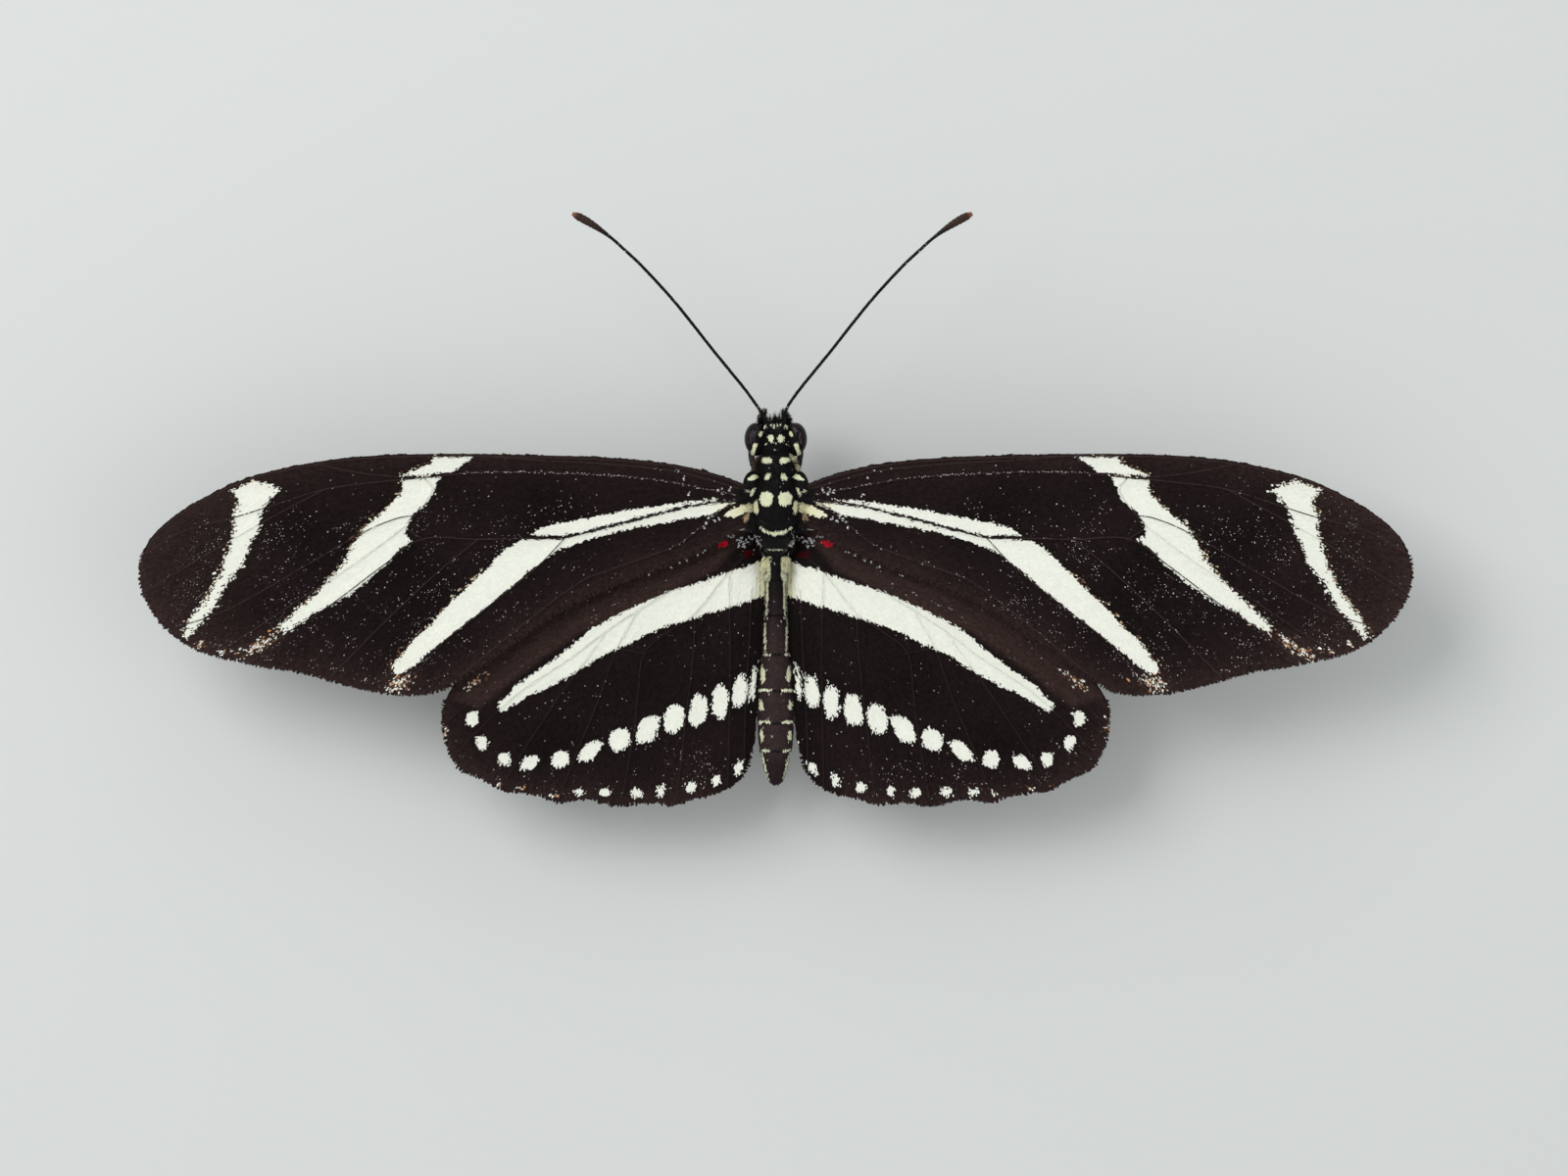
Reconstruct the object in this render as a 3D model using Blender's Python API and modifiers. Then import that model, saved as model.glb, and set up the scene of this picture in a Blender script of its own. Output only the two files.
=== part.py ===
"""Zebra longwing butterfly, life size, standing with its wings spread flat.

Metres, +Z up. The origin is on the ground, under the middle of the whole animal. The head
points along +Y and the right wings along +X. Left pieces mirror the right ones, apart from
the antennae, which are turned a little differently. Sizes below are in millimetres.
"""

import math

import bmesh
import bpy
from mathutils import Vector
from mathutils.geometry import delaunay_2d_cdt

MM = 0.001
GAP = 0.3
PARTS_NAME = "zebra_longwing"
SIDES = {"left": -1, "right": 1}

# Body rings: distance along Y, half width, height above and below the middle, middle height
HEAD_RINGS = [
    (3.60, 0.95, 0.95, 0.90, 7.10),
    (4.00, 1.15, 1.20, 1.10, 7.15),
    (4.60, 1.22, 1.28, 1.20, 7.15),
    (5.05, 1.10, 1.12, 1.12, 7.15),
    (5.45, 0.80, 0.82, 0.88, 7.10),
    (5.70, 0.40, 0.42, 0.45, 7.05),
]
THORAX_RINGS = [
    (-2.70, 0.95, 0.90, 1.10, 6.80),
    (-2.40, 1.30, 1.20, 1.55, 6.88),
    (-1.90, 1.45, 1.42, 1.80, 6.95),
    (-1.70, 1.54, 1.72, 1.92, 7.00),
    (-0.70, 1.70, 2.10, 2.15, 7.00),
    (0.30, 1.76, 2.20, 2.20, 7.00),
    (1.30, 1.68, 2.02, 2.05, 7.00),
    (1.90, 1.52, 1.72, 1.78, 7.03),
    (2.15, 1.40, 1.48, 1.55, 7.05),
    (2.45, 1.50, 1.50, 1.52, 7.08),
    (2.90, 1.42, 1.28, 1.28, 7.10),
    (3.30, 1.25, 0.98, 0.95, 7.10),
]
BODY_SIDES = 24
SHARP_ANGLE = math.radians(50)
ROUNDNESS = {"head": 2.2, "thorax": 2.6, "abdomen": 2.0}

# Abdomen: outline at a few places along Y, and the hind edges of its segments
ABDOMEN_SHAPE = [
    (-3.00, 0.88, 0.90, 0.95, 6.75),
    (-4.00, 0.74, 0.90, 0.95, 6.60),
    (-5.60, 0.64, 0.92, 0.98, 6.45),
    (-8.00, 0.78, 1.00, 1.05, 6.25),
    (-10.50, 1.06, 1.12, 1.15, 6.05),
    (-13.00, 1.25, 1.15, 1.18, 5.85),
    (-15.20, 1.18, 1.05, 1.08, 5.70),
    (-16.60, 0.92, 0.85, 0.88, 5.58),
    (-17.60, 0.60, 0.58, 0.60, 5.50),
    (-18.10, 0.30, 0.30, 0.30, 5.45),
]
SEGMENT_ENDS = (-4.6, -6.9, -9.45, -11.85, -13.95, -15.8)
SEGMENT_STEP = 0.07
SEGMENT_EDGE = 0.05
SEGMENT_PINCH = 0.22

# Eyes: middle and radii of the right one
EYE_MIDDLE = (1.30, 4.60, 7.12)
EYE_RADII = (0.75, 1.06, 0.98)
EYE_SEGMENTS = 18
EYE_RINGS = 12

# Wings: thickness of the membrane and of a vein, and the height of the surface
MEMBRANE = 0.5
VEIN = 0.95
VEIN_FOOT = 0.32
FOREWING_ROOT_HEIGHT = 8.15
HINDWING_DROP = 1.3
WING_SPAN = 39.0
WING_ROOT_X = 2.0
WING_RISE = 1.9
WING_ARCH = 1.1
WING_TILT = 0.02
HINDWING_SAG = 0.5
HINDWING_SAG_START = -7.0
HINDWING_SAG_LENGTH = 12.0
ANAL_FOLD = 0.55
ANAL_FOLD_WIDTH = 1.1

# Forewing margin from the front of its root, round the tip, to the back of its root
FOREWING_MARGIN = [
    (2.1, 1.72), (4.2, 2.42), (7.1, 3.03), (11.4, 3.42), (16.8, 3.58), (22.2, 3.64),
    (27.5, 3.42), (31.7, 2.78), (34.7, 1.96), (37.0, 0.92), (39.2, -0.42), (40.75, -1.9),
    (41.4, -3.5), (41.35, -5.0), (40.75, -6.4), (39.7, -7.8), (38.3, -8.9), (36.7, -9.6),
    (35.0, -9.95), (33.2, -10.35), (31.0, -10.65), (28.7, -11.3), (26.4, -11.85),
    (24.0, -12.15), (22.3, -12.0), (21.0, -11.45), (18.1, -9.5), (15.0, -7.33),
    (12.8, -6.05), (9.5, -4.63), (6.0, -3.3), (4.0, -2.35), (2.5, -1.5),
]
FOREWING_VEINS = [
    [(2.3, 0.9), (4.2, 1.25), (6.9, 1.76), (9.6, 2.12), (13.2, 2.32), (16.8, 2.42),
     (20.0, 2.35), (22.9, 2.05), (26.0, 1.75), (29.4, 1.28), (33.0, 0.16), (35.1, -0.5),
     (38.7, -1.5), (41.3, -3.0)],
    [(2.4, 1.35), (6.5, 2.45), (11.4, 2.95), (15.0, 3.15), (19.0, 3.5)],
    [(23.6, 2.0), (27.0, 2.35), (30.0, 3.0)],
    [(29.4, 1.28), (33.3, -0.8), (37.3, -3.1), (41.2, -5.4)],
    [(22.9, 2.05), (22.4, 1.2), (23.4, -0.3), (24.1, -1.1), (23.0, -1.95)],
    [(23.5, -0.4), (24.8, -0.65), (27.0, -1.6), (31.5, -4.2), (35.8, -6.6), (39.6, -7.9)],
    [(24.1, -1.1), (27.5, -3.6), (31.5, -6.2), (35.0, -8.5), (36.9, -9.5)],
    [(2.35, 0.6), (3.7, 0.48), (6.0, 0.12), (8.7, -0.57), (11.45, -1.28), (13.7, -1.85),
     (16.2, -1.9), (19.4, -1.97), (23.0, -1.95), (25.6, -3.7), (29.0, -6.25), (32.0, -8.2),
     (34.2, -10.1)],
    [(19.4, -1.97), (22.0, -4.1), (25.0, -6.9), (27.6, -9.5), (29.2, -11.1)],
    [(13.7, -1.85), (15.8, -4.0), (19.3, -6.8), (22.0, -9.0), (24.4, -12.1)],
    [(2.4, -0.2), (4.4, -1.0), (6.5, -2.35), (8.6, -3.18), (11.0, -4.03), (13.0, -4.9),
     (16.7, -7.7), (20.4, -10.9)],
]

# Hindwing margin from the front of its root, round the scallops, to the abdomen's tip
HINDWING_MARGIN = [
    (1.9, -1.35), (4.2, -1.3), (8.5, -2.2), (13.5, -4.5), (17.5, -7.8), (20.2, -10.5),
    (21.5, -12.2), (21.8, -13.8), (21.6, -15.2), (21.0, -16.5), (20.2, -17.25),
    (19.2, -17.6), (17.9, -18.35), (16.4, -18.55), (15.3, -18.75), (14.1, -19.15),
    (12.3, -18.95), (10.2, -19.4), (8.4, -19.15), (6.6, -19.3), (5.3, -18.9),
    (3.9, -18.6), (2.7, -18.0), (1.95, -17.2), (1.6, -16.3),
]
HINDWING_INNER_END = -15.9
HINDWING_VEINS = [
    [(1.95, -2.3), (3.8, -2.95), (6.5, -4.25), (10.1, -6.0), (12.7, -7.05), (16.2, -9.5),
     (19.2, -11.9), (21.7, -14.0)],
    [(3.8, -2.95), (6.3, -4.9), (9.0, -6.6), (11.0, -7.9), (13.4, -9.7), (16.8, -12.0),
     (19.5, -14.5), (21.1, -16.2)],
    [(11.0, -7.9), (14.0, -12.0), (16.95, -16.5), (18.0, -18.3)],
    [(9.0, -6.6), (10.4, -9.1), (11.6, -12.5), (13.1, -16.1), (14.2, -19.1)],
    [(1.9, -3.0), (3.1, -4.1), (5.3, -6.8), (7.0, -8.0), (8.6, -9.4), (9.0, -12.0),
     (9.3, -14.7), (10.2, -19.3)],
    [(10.4, -9.1), (8.6, -9.4)],
    [(5.3, -6.8), (5.4, -9.5), (5.85, -13.4), (6.6, -19.2)],
    [(3.1, -4.1), (3.0, -8.0), (3.0, -12.2), (3.2, -18.3)],
    [(1.6, -5.2), (1.75, -9.0), (1.95, -12.0), (2.2, -17.2)],
]

# Spacing of the points that a wing's surface is made of
MARGIN_STEP = 1.15
VEIN_STEP = 1.7
GRID_STEP = 2.4
POINT_SPACING = 0.42
FOOT_CLEARANCE = 0.25
GRID_CLEARANCE = 1.08
EDGE_SHARE = 0.8
SAME_POINT = 0.02
VEIN_END = 0.5

# Antennae: where one grows from the head, its path and height, and how far each one lies outwards of it
ANTENNA_ROOT_Y = 5.1
ANTENNA_ROOT_DEGREES = 62
ANTENNA_LEAN = 0.55
ANTENNA_STEP = 0.85
ANTENNA_PATH = [
    (0.85, 6.45, 8.75), (1.75, 7.75, 9.15), (2.85, 9.1, 9.45), (3.95, 10.45, 9.7),
    (5.05, 11.85, 9.9), (6.3, 13.4, 10.1), (7.55, 14.8, 10.25), (8.65, 15.95, 10.35),
    (9.62, 16.85, 10.4), (10.4, 17.55, 10.45), (11.3, 18.22, 10.45), (12.2, 18.78, 10.45),
    (12.98, 19.18, 10.45),
]
ANTENNA_SHIFT = {"left": 0.22, "right": -0.22}
ANTENNA_SHIFT_REACH = 1.6
SHAFT_RADIUS = 0.25
CLUB_RADIUS = 0.4
CLUB_LENGTH = 3.2
CLUB_TAPER = 0.72
CLUB_SLIMNESS = 1.5
TIP_RADIUS = 0.2

# Legs: points of the right ones with their radii, from the thorax to the claws
LEG_NODES = ("femur", "tibia", "tarsus")
FOOT_RADIUS = 0.27
CLAW_RADIUS = 0.17
FLAT_RATIO = math.cos(math.pi / 8)
LEGS = {
    "midleg": {
        "femur": [(1.25, 0.55, 4.75, 0.42), (3.0, 1.05, 5.15, 0.4), (5.2, 1.6, 5.75, 0.34)],
        "tibia": [(6.3, 1.7, 4.0, 0.3), (7.35, 1.6, 2.0, 0.28)],
        "tarsus": [(8.2, 1.58, None, FOOT_RADIUS), (8.6, 1.56, None, FOOT_RADIUS),
                   (9.8, 1.5, None, FOOT_RADIUS), (10.9, 1.35, None, CLAW_RADIUS)],
    },
    "hindleg": {
        "femur": [(1.1, -1.35, 4.75, 0.42), (2.6, -3.1, 5.1, 0.4), (4.3, -5.2, 5.55, 0.34)],
        "tibia": [(5.5, -6.9, 3.9, 0.3), (6.5, -8.3, 1.9, 0.28)],
        "tarsus": [(7.05, -9.2, None, FOOT_RADIUS), (7.2, -9.55, None, FOOT_RADIUS),
                   (7.65, -10.8, None, FOOT_RADIUS), (8.0, -12.0, None, CLAW_RADIUS)],
    },
}
LEG_SIDES = 8
FORELEG_PATH = [(1.25, 2.45, 5.35, 0.28), (1.55, 3.1, 4.95, 0.3), (1.62, 3.9, 4.7, 0.28),
                (1.5, 4.6, 4.45, 0.24), (1.3, 5.2, 4.3, 0.15)]

# Palps and proboscis, at the front of the head
PALP_PATH = [(0.82, 4.75, 5.55, 0.25), (0.84, 5.35, 5.5, 0.28), (0.82, 5.95, 5.95, 0.3),
             (0.72, 6.2, 6.6, 0.28), (0.62, 6.38, 7.15, 0.2), (0.58, 6.45, 7.4, 0.1)]
TONGUE_ROOT = (0.0, 4.35, 5.5)
COIL_MIDDLE = (5.0, 4.4)
COIL_OUTER = 1.0
COIL_PITCH = 0.84
COIL_TURNS = 0.85
COIL_START = math.radians(95)
COIL_RADIUS = 0.25
COIL_POINTS = 15

COLOURS = {
    "body": ((0.012, 0.009, 0.010), 0.6),
    "wing": ((0.013, 0.009, 0.009), 0.7),
    "eye": ((0.030, 0.010, 0.014), 0.15),
    "antenna": ((0.010, 0.008, 0.008), 0.45),
    "leg": ((0.030, 0.022, 0.018), 0.5),
    "proboscis": ((0.040, 0.022, 0.014), 0.4),
}


def clear_scene():
    for thing in list(bpy.data.objects):
        bpy.data.objects.remove(thing, do_unlink=True)


def new_collection(name):
    collection = bpy.data.collections.new(name)
    bpy.context.scene.collection.children.link(collection)
    return collection


def principled(name, kind):
    colour, roughness = COLOURS[kind]
    material = bpy.data.materials.new(name)
    material.use_nodes = True
    shader = material.node_tree.nodes["Principled BSDF"]
    shader.inputs["Base Color"].default_value = (*colour, 1.0)
    shader.inputs["Roughness"].default_value = roughness
    shader.inputs["Metallic"].default_value = 0.0
    return material


def add_object(name, data, collection, kind):
    thing = bpy.data.objects.new(name, data)
    collection.objects.link(thing)
    data.materials.append(principled(name, kind))
    return thing


def mesh_object(name, points, faces, collection, kind):
    mesh = bpy.data.meshes.new(name)
    mesh.from_pydata([Vector(point) * MM for point in points], [], faces)
    mesh.validate()
    work = bmesh.new()
    work.from_mesh(mesh)
    bmesh.ops.recalc_face_normals(work, faces=work.faces)
    work.to_mesh(mesh)
    work.free()
    mesh.shade_smooth()
    mesh.set_sharp_from_angle(angle=SHARP_ANGLE)
    return add_object(name, mesh, collection, kind)


def closed_loft(rings):
    """Points and faces of a tube through rings of equal count, closed by a fan at each end."""
    count = len(rings[0])
    points = [point for ring in rings for point in ring]
    faces = []
    for row in range(len(rings) - 1):
        for spot in range(count):
            after = (spot + 1) % count
            low = row * count
            high = low + count
            faces.append((low + spot, low + after, high + after))
            faces.append((low + spot, high + after, high + spot))
    for ring, first in ((rings[0], 0), (rings[-1], len(points) - count)):
        middle = sum((Vector(point) for point in ring), Vector()) / count
        points.append(tuple(middle))
        centre = len(points) - 1
        faces += [(first + spot, first + (spot + 1) % count, centre) for spot in range(count)]
    return points, faces


def between(table, where):
    """Values of a table whose rows start with a place along Y, read at one place."""
    rows = sorted(table)
    where = min(max(where, rows[0][0]), rows[-1][0])
    for low, high in zip(rows, rows[1:]):
        if where <= high[0]:
            share = (where - low[0]) / (high[0] - low[0])
            return [a + (b - a) * share for a, b in zip(low[1:], high[1:])]
    return list(rows[-1][1:])


def body_ring(kind, place, half_width, above, below, middle):
    """One ring of a body part: an ellipse, or a squarer oval where its roundness is over 2."""
    ring = []
    for spot in range(BODY_SIDES):
        angle = 2 * math.pi * spot / BODY_SIDES
        across, rise = math.cos(angle), math.sin(angle)
        power = ROUNDNESS[kind]
        size = (abs(across) ** power + abs(rise) ** power) ** (-1 / power)
        height = above if rise > 0 else below
        ring.append((half_width * across * size, place, middle + height * rise * size))
    return ring


def abdomen_rings():
    """Rings of the abdomen, a little narrower just behind each segment's hind edge."""
    places = {row[0]: 1.0 for row in ABDOMEN_SHAPE}
    for end in SEGMENT_ENDS:
        places[end + SEGMENT_PINCH] = 1.0
        places[end] = 1.0
        places[end - SEGMENT_EDGE] = 1.0 - SEGMENT_STEP
        places[end - SEGMENT_PINCH] = 1.0 - SEGMENT_STEP / 2
    crowded = {row[0] for row in ABDOMEN_SHAPE
               if any(0 < abs(row[0] - end) < 2 * SEGMENT_PINCH for end in SEGMENT_ENDS)}
    rows = []
    for place in sorted(set(places) - crowded):
        half_width, above, below, middle = between(ABDOMEN_SHAPE, place)
        size = places[place]
        rows.append((place, half_width * size, above * size, below * size, middle))
    return rows


def body_side(place, low, high):
    """Widest half width of the thorax or abdomen between two heights, at one place along Y."""
    waist = (THORAX_RINGS[0][0] + ABDOMEN_SHAPE[0][0]) / 2
    kind, table = ("thorax", THORAX_RINGS) if place > waist else ("abdomen", ABDOMEN_SHAPE)
    half_width, above, below, middle = between(table, place)
    height = min(max(middle, low), high)
    reach = above if height > middle else below
    rise = min(abs(height - middle) / reach, 1.0)
    return half_width * (1 - rise ** ROUNDNESS[kind]) ** (1 / ROUNDNESS[kind])


def body_surface(table, place, degrees):
    """A point on a body part's skin, and the way out from it, on the right side."""
    half_width, above, below, middle = between(table, place)
    angle = math.radians(degrees)
    height = above if angle > 0 else below
    point = Vector((half_width * math.cos(angle), place, middle + height * math.sin(angle)))
    outward = Vector((height * math.cos(angle), 0, half_width * math.sin(angle)))
    return point, outward.normalized()


def smooth_line(points, closed=False, steps=12):
    """A Catmull-Rom curve through the points, finely divided."""
    count = len(points)
    line = []
    for index in range(count if closed else count - 1):
        if closed:
            four = [Vector(points[(index + shift) % count]) for shift in (-1, 0, 1, 2)]
        else:
            four = [Vector(points[min(max(index + shift, 0), count - 1)]) for shift in (-1, 0, 1, 2)]
        before, start, end, after = four
        for step in range(steps):
            t = step / steps
            line.append((2 * start + (end - before) * t
                         + (2 * before - 5 * start + 4 * end - after) * t * t
                         + (3 * start - before - 3 * end + after) * t ** 3) / 2)
    if not closed:
        line.append(Vector(points[-1]))
    return line


def even_steps(line, step):
    """Points at equal distances along a fine line, its two ends included."""
    lengths = [0.0]
    for before, after in zip(line, line[1:]):
        lengths.append(lengths[-1] + (after - before).length)
    count = max(1, round(lengths[-1] / step))
    result = []
    index = 0
    for number in range(count + 1):
        wanted = lengths[-1] * number / count
        while index < len(line) - 2 and lengths[index + 1] < wanted:
            index += 1
        share = (wanted - lengths[index]) / (lengths[index + 1] - lengths[index])
        result.append(line[index].lerp(line[index + 1], share))
    return result


def forewing_height(x, y):
    """Height of the forewing's middle surface, a shallow arch from root to tip."""
    out = (x - WING_ROOT_X) / WING_SPAN
    return FOREWING_ROOT_HEIGHT + WING_RISE * out - WING_ARCH * out * out + WING_TILT * y


def hindwing_height(x, y):
    """Height of the hindwing's middle surface, folded down along the abdomen."""
    back = max(0.0, (HINDWING_SAG_START - y) / HINDWING_SAG_LENGTH)
    fold = ANAL_FOLD * math.exp(-max(x - 1.0, 0.0) / ANAL_FOLD_WIDTH)
    return forewing_height(x, y) - HINDWING_DROP - HINDWING_SAG * back * back - fold


def beside_body(start, end, height):
    """Points from one place along Y to another, a gap away from the body's side."""
    count = max(2, round(abs(end - start) / MARGIN_STEP))
    points = []
    for step in range(count + 1):
        y = start + (end - start) * step / count
        x = WING_ROOT_X
        for _ in range(4):
            x = body_side(y, height(x, y) - VEIN / 2, height(x, y) + VEIN / 2) + GAP
        points.append(Vector((x, y)))
    return points


def forewing_outline():
    margin = even_steps(smooth_line(FOREWING_MARGIN), MARGIN_STEP)
    root = beside_body(margin[-1].y, margin[0].y, forewing_height)
    return margin + root[1:-1]


def hindwing_outline():
    margin = even_steps(smooth_line(HINDWING_MARGIN), MARGIN_STEP)
    inner = beside_body(HINDWING_INNER_END, margin[0].y, hindwing_height)
    return margin + inner[:-1]


def nearest(point, points):
    return min(range(len(points)), key=lambda index: (points[index] - point).length)


def inside(point, outline):
    hit = False
    for before, after in zip(outline, outline[1:] + outline[:1]):
        if (before.y > point.y) != (after.y > point.y):
            if point.x < before.x + (after.x - before.x) * (point.y - before.y) / (after.y - before.y):
                hit = not hit
    return hit


def span_distance(point, start, end):
    """Distance from a point to a straight edge."""
    along = end - start
    share = min(max((point - start).dot(along) / along.length_squared, 0.0), 1.0)
    return (start + along * share - point).length


def clear_of(point, points, spans, distance):
    """Whether a point keeps its distance from the other points and from the kept edges."""
    if min((other - point).length for other in points) < distance:
        return False
    return all(span_distance(point, start, end) > distance * EDGE_SHARE for start, end in spans)


def vein_line(vein, border):
    """Points along one vein, which fades out just before the wing's margin."""
    line = smooth_line(vein)
    while min(span_distance(line[-1], start, end) for start, end in border) < VEIN_END:
        line.pop()
    return even_steps(line, VEIN_STEP)


def wing_sheet(outline, veins, height):
    """Triangles of a wing's middle surface, and which of its points lie on a vein.

    The veins are kept as edges. A row of foot points runs along both sides of each, so that
    a thicker vein rises as a narrow ridge.
    """
    points = list(outline)
    edges = [(index, (index + 1) % len(outline)) for index in range(len(outline))]
    border = [(points[a], points[b]) for a, b in edges]
    crest = set()
    feet = []
    for vein in veins:
        row = []
        line = vein_line(vein, border)
        for spot, point in enumerate(line):
            close = nearest(point, points)
            reach = VEIN_STEP / 2 if spot == 0 else POINT_SPACING
            if spot == len(line) - 1 and close >= len(outline):
                reach = VEIN_STEP / 2
            if (points[close] - point).length < reach:
                row.append(close)
            else:
                points.append(point)
                row.append(len(points) - 1)
        row = [index for spot, index in enumerate(row) if spot == 0 or index != row[spot - 1]]
        crest.update(row)
        edges += list(zip(row, row[1:]))
        for before, after in zip(row, row[1:]):
            along = (points[after] - points[before]).normalized()
            across = Vector((-along.y, along.x)) * VEIN_FOOT
            for share in (0.0, 0.5, 1.0):
                middle = points[before].lerp(points[after], share)
                feet += [middle + across, middle - across]
    crest_points = [points[index] for index in crest]
    spans = [(points[a], points[b]) for a, b in edges]
    for point in feet:
        if inside(point, outline) and clear_of(point, points, spans, FOOT_CLEARANCE):
            points.append(point)
    low = Vector((min(p.x for p in outline), min(p.y for p in outline)))
    high = Vector((max(p.x for p in outline), max(p.y for p in outline)))
    for column in range(int((high.x - low.x) / GRID_STEP) + 1):
        for row_number in range(int((high.y - low.y) / GRID_STEP) + 1):
            shift = GRID_STEP / 2 if column % 2 else 0.0
            point = low + Vector((column * GRID_STEP, row_number * GRID_STEP + shift))
            if inside(point, outline) and clear_of(point, points, spans, GRID_CLEARANCE):
                points.append(point)
    flat, _, triangles, _, _, _ = delaunay_2d_cdt(points, edges, [], 1, 1e-5)
    on_vein = []
    for index, point in enumerate(flat):
        if min((point - spot).length for spot in crest_points) < SAME_POINT:
            on_vein.append(index)
    solid = [(point.x, point.y, height(point.x, point.y)) for point in flat]
    return solid, triangles, on_vein


def build_wing(kind, side, sheet, collection):
    points, triangles, on_vein = sheet
    sign = SIDES[side]
    name = f"{kind}_{side}"
    mesh = bpy.data.meshes.new(name)
    faces = [tuple(face) if sign > 0 else tuple(reversed(face)) for face in triangles]
    mesh.from_pydata([Vector((sign * x, y, z)) * MM for x, y, z in points], [], faces)
    mesh.shade_smooth()
    wing = add_object(name, mesh, collection, "wing")
    group = wing.vertex_groups.new(name="veins")
    group.add(on_vein, 1.0, "REPLACE")
    thick = wing.modifiers.new("membrane and veins", "SOLIDIFY")
    thick.thickness = VEIN * MM
    thick.offset = 0.0
    thick.vertex_group = "veins"
    thick.thickness_vertex_group = MEMBRANE / VEIN
    return wing


def build_wings(collection):
    forewing = wing_sheet(forewing_outline(), FOREWING_VEINS, forewing_height)
    hindwing = wing_sheet(hindwing_outline(), HINDWING_VEINS, hindwing_height)
    for side in SIDES:
        build_wing("forewing", side, forewing, collection)
        build_wing("hindwing", side, hindwing, collection)


def ellipsoid(name, middle, radii, collection, kind):
    mesh = bpy.data.meshes.new(name)
    work = bmesh.new()
    bmesh.ops.create_uvsphere(work, u_segments=EYE_SEGMENTS, v_segments=EYE_RINGS, radius=MM)
    bmesh.ops.scale(work, vec=radii, verts=work.verts)
    work.to_mesh(mesh)
    work.free()
    mesh.shade_smooth()
    thing = add_object(name, mesh, collection, kind)
    thing.location = Vector(middle) * MM
    return thing


def build_head(collection, cutters):
    rings = [body_ring("head", *row) for row in HEAD_RINGS]
    head = mesh_object("head", *closed_loft(rings), collection, "body")
    for side, sign in SIDES.items():
        middle = (sign * EYE_MIDDLE[0], EYE_MIDDLE[1], EYE_MIDDLE[2])
        ellipsoid(f"eye_{side}", middle, EYE_RADII, collection, "eye")
        wide = tuple(radius + GAP for radius in EYE_RADII)
        socket = ellipsoid(f"socket_{side}", middle, wide, cutters, "body")
        socket.hide_render = True
        socket.display_type = "WIRE"
        cut = head.modifiers.new(f"socket {side}", "BOOLEAN")
        cut.operation = "DIFFERENCE"
        cut.object = socket


def build_body(collection):
    rings = [body_ring("thorax", *row) for row in THORAX_RINGS]
    mesh_object("thorax", *closed_loft(rings), collection, "body")
    rings = [body_ring("abdomen", *row) for row in abdomen_rings()]
    mesh_object("abdomen", *closed_loft(rings), collection, "body")


def curve_tube(name, points, radii, collection, kind):
    curve = bpy.data.curves.new(name, "CURVE")
    curve.dimensions = "3D"
    curve.bevel_depth = MM
    curve.bevel_resolution = 2
    curve.use_fill_caps = True
    spline = curve.splines.new("POLY")
    spline.points.add(len(points) - 1)
    for spot, point, radius in zip(spline.points, points, radii):
        spot.co = (*(Vector(point) * MM), 1.0)
        spot.radius = radius
    return add_object(name, curve, collection, kind)


def build_antenna(side, collection):
    """A thin shaft that swells into a slim club, from the top of the head forward."""
    root, outward = body_surface(HEAD_RINGS, ANTENNA_ROOT_Y, ANTENNA_ROOT_DEGREES)
    outward = (outward + Vector((0, ANTENNA_LEAN, 0))).normalized()
    start = root + outward * GAP
    line = even_steps(smooth_line([start, *ANTENNA_PATH]), ANTENNA_STEP)
    for point in line:
        point.x += ANTENNA_SHIFT[side] * min((point.y - start.y) / ANTENNA_SHIFT_REACH, 1.0)
    length = sum((after - before).length for before, after in zip(line, line[1:]))
    radii = []
    walked = 0.0
    for before, after in zip([line[0]] + line, line):
        walked += (after - before).length
        share = min(max((walked - length + CLUB_LENGTH) / CLUB_LENGTH, 0.0), 1.0)
        swell = math.sin(math.pi * share * CLUB_TAPER) ** CLUB_SLIMNESS
        radii.append(SHAFT_RADIUS + (CLUB_RADIUS - SHAFT_RADIUS) * swell)
    radii[-1] = TIP_RADIUS
    sign = SIDES[side]
    points = [(sign * point.x, point.y, point.z) for point in line]
    curve_tube(f"antenna_{side}", points, radii, collection, "antenna")


def build_palp(side, collection):
    sign = SIDES[side]
    points = [(sign * x, y, z) for x, y, z, _ in PALP_PATH]
    curve_tube(f"palp_{side}", points, [row[3] for row in PALP_PATH], collection, "body")


def build_proboscis(collection):
    """The feeding tube, coiled under the front of the head."""
    points = [TONGUE_ROOT]
    for number in range(COIL_POINTS):
        share = number / (COIL_POINTS - 1)
        angle = COIL_START - 2 * math.pi * COIL_TURNS * share
        reach = COIL_OUTER - COIL_PITCH * COIL_TURNS * share
        y = COIL_MIDDLE[0] + reach * math.cos(angle)
        points.append((0.0, y, COIL_MIDDLE[1] + reach * math.sin(angle)))
    curve_tube("proboscis", points, [COIL_RADIUS] * len(points), collection, "proboscis")


def leg_ring(point, along, radius):
    """Eight points round a leg, with one flat of the ring turned to the ground."""
    aside = along.cross(Vector((0, 0, 1))).normalized()
    up = aside.cross(along)
    ring = []
    for spot in range(LEG_SIDES):
        angle = 2 * math.pi * (spot + 0.5) / LEG_SIDES
        ring.append(tuple(point + (aside * math.cos(angle) + up * math.sin(angle)) * radius))
    return ring


def leg_path(spots):
    """Points and radii of a leg, with the ones that touch the ground resting on a flat."""
    points = []
    for x, y, z, radius in spots:
        height = radius * FLAT_RATIO if z is None else z
        points.append(Vector((x, y, height)))
    return points, [spot[3] for spot in spots]


def heading(points, index):
    before = points[max(index - 1, 0)]
    after = points[min(index + 1, len(points) - 1)]
    here = points[index]
    way = Vector()
    if index > 0:
        way += (here - before).normalized()
    if index < len(points) - 1:
        way += (after - here).normalized()
    return way.normalized()


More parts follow.
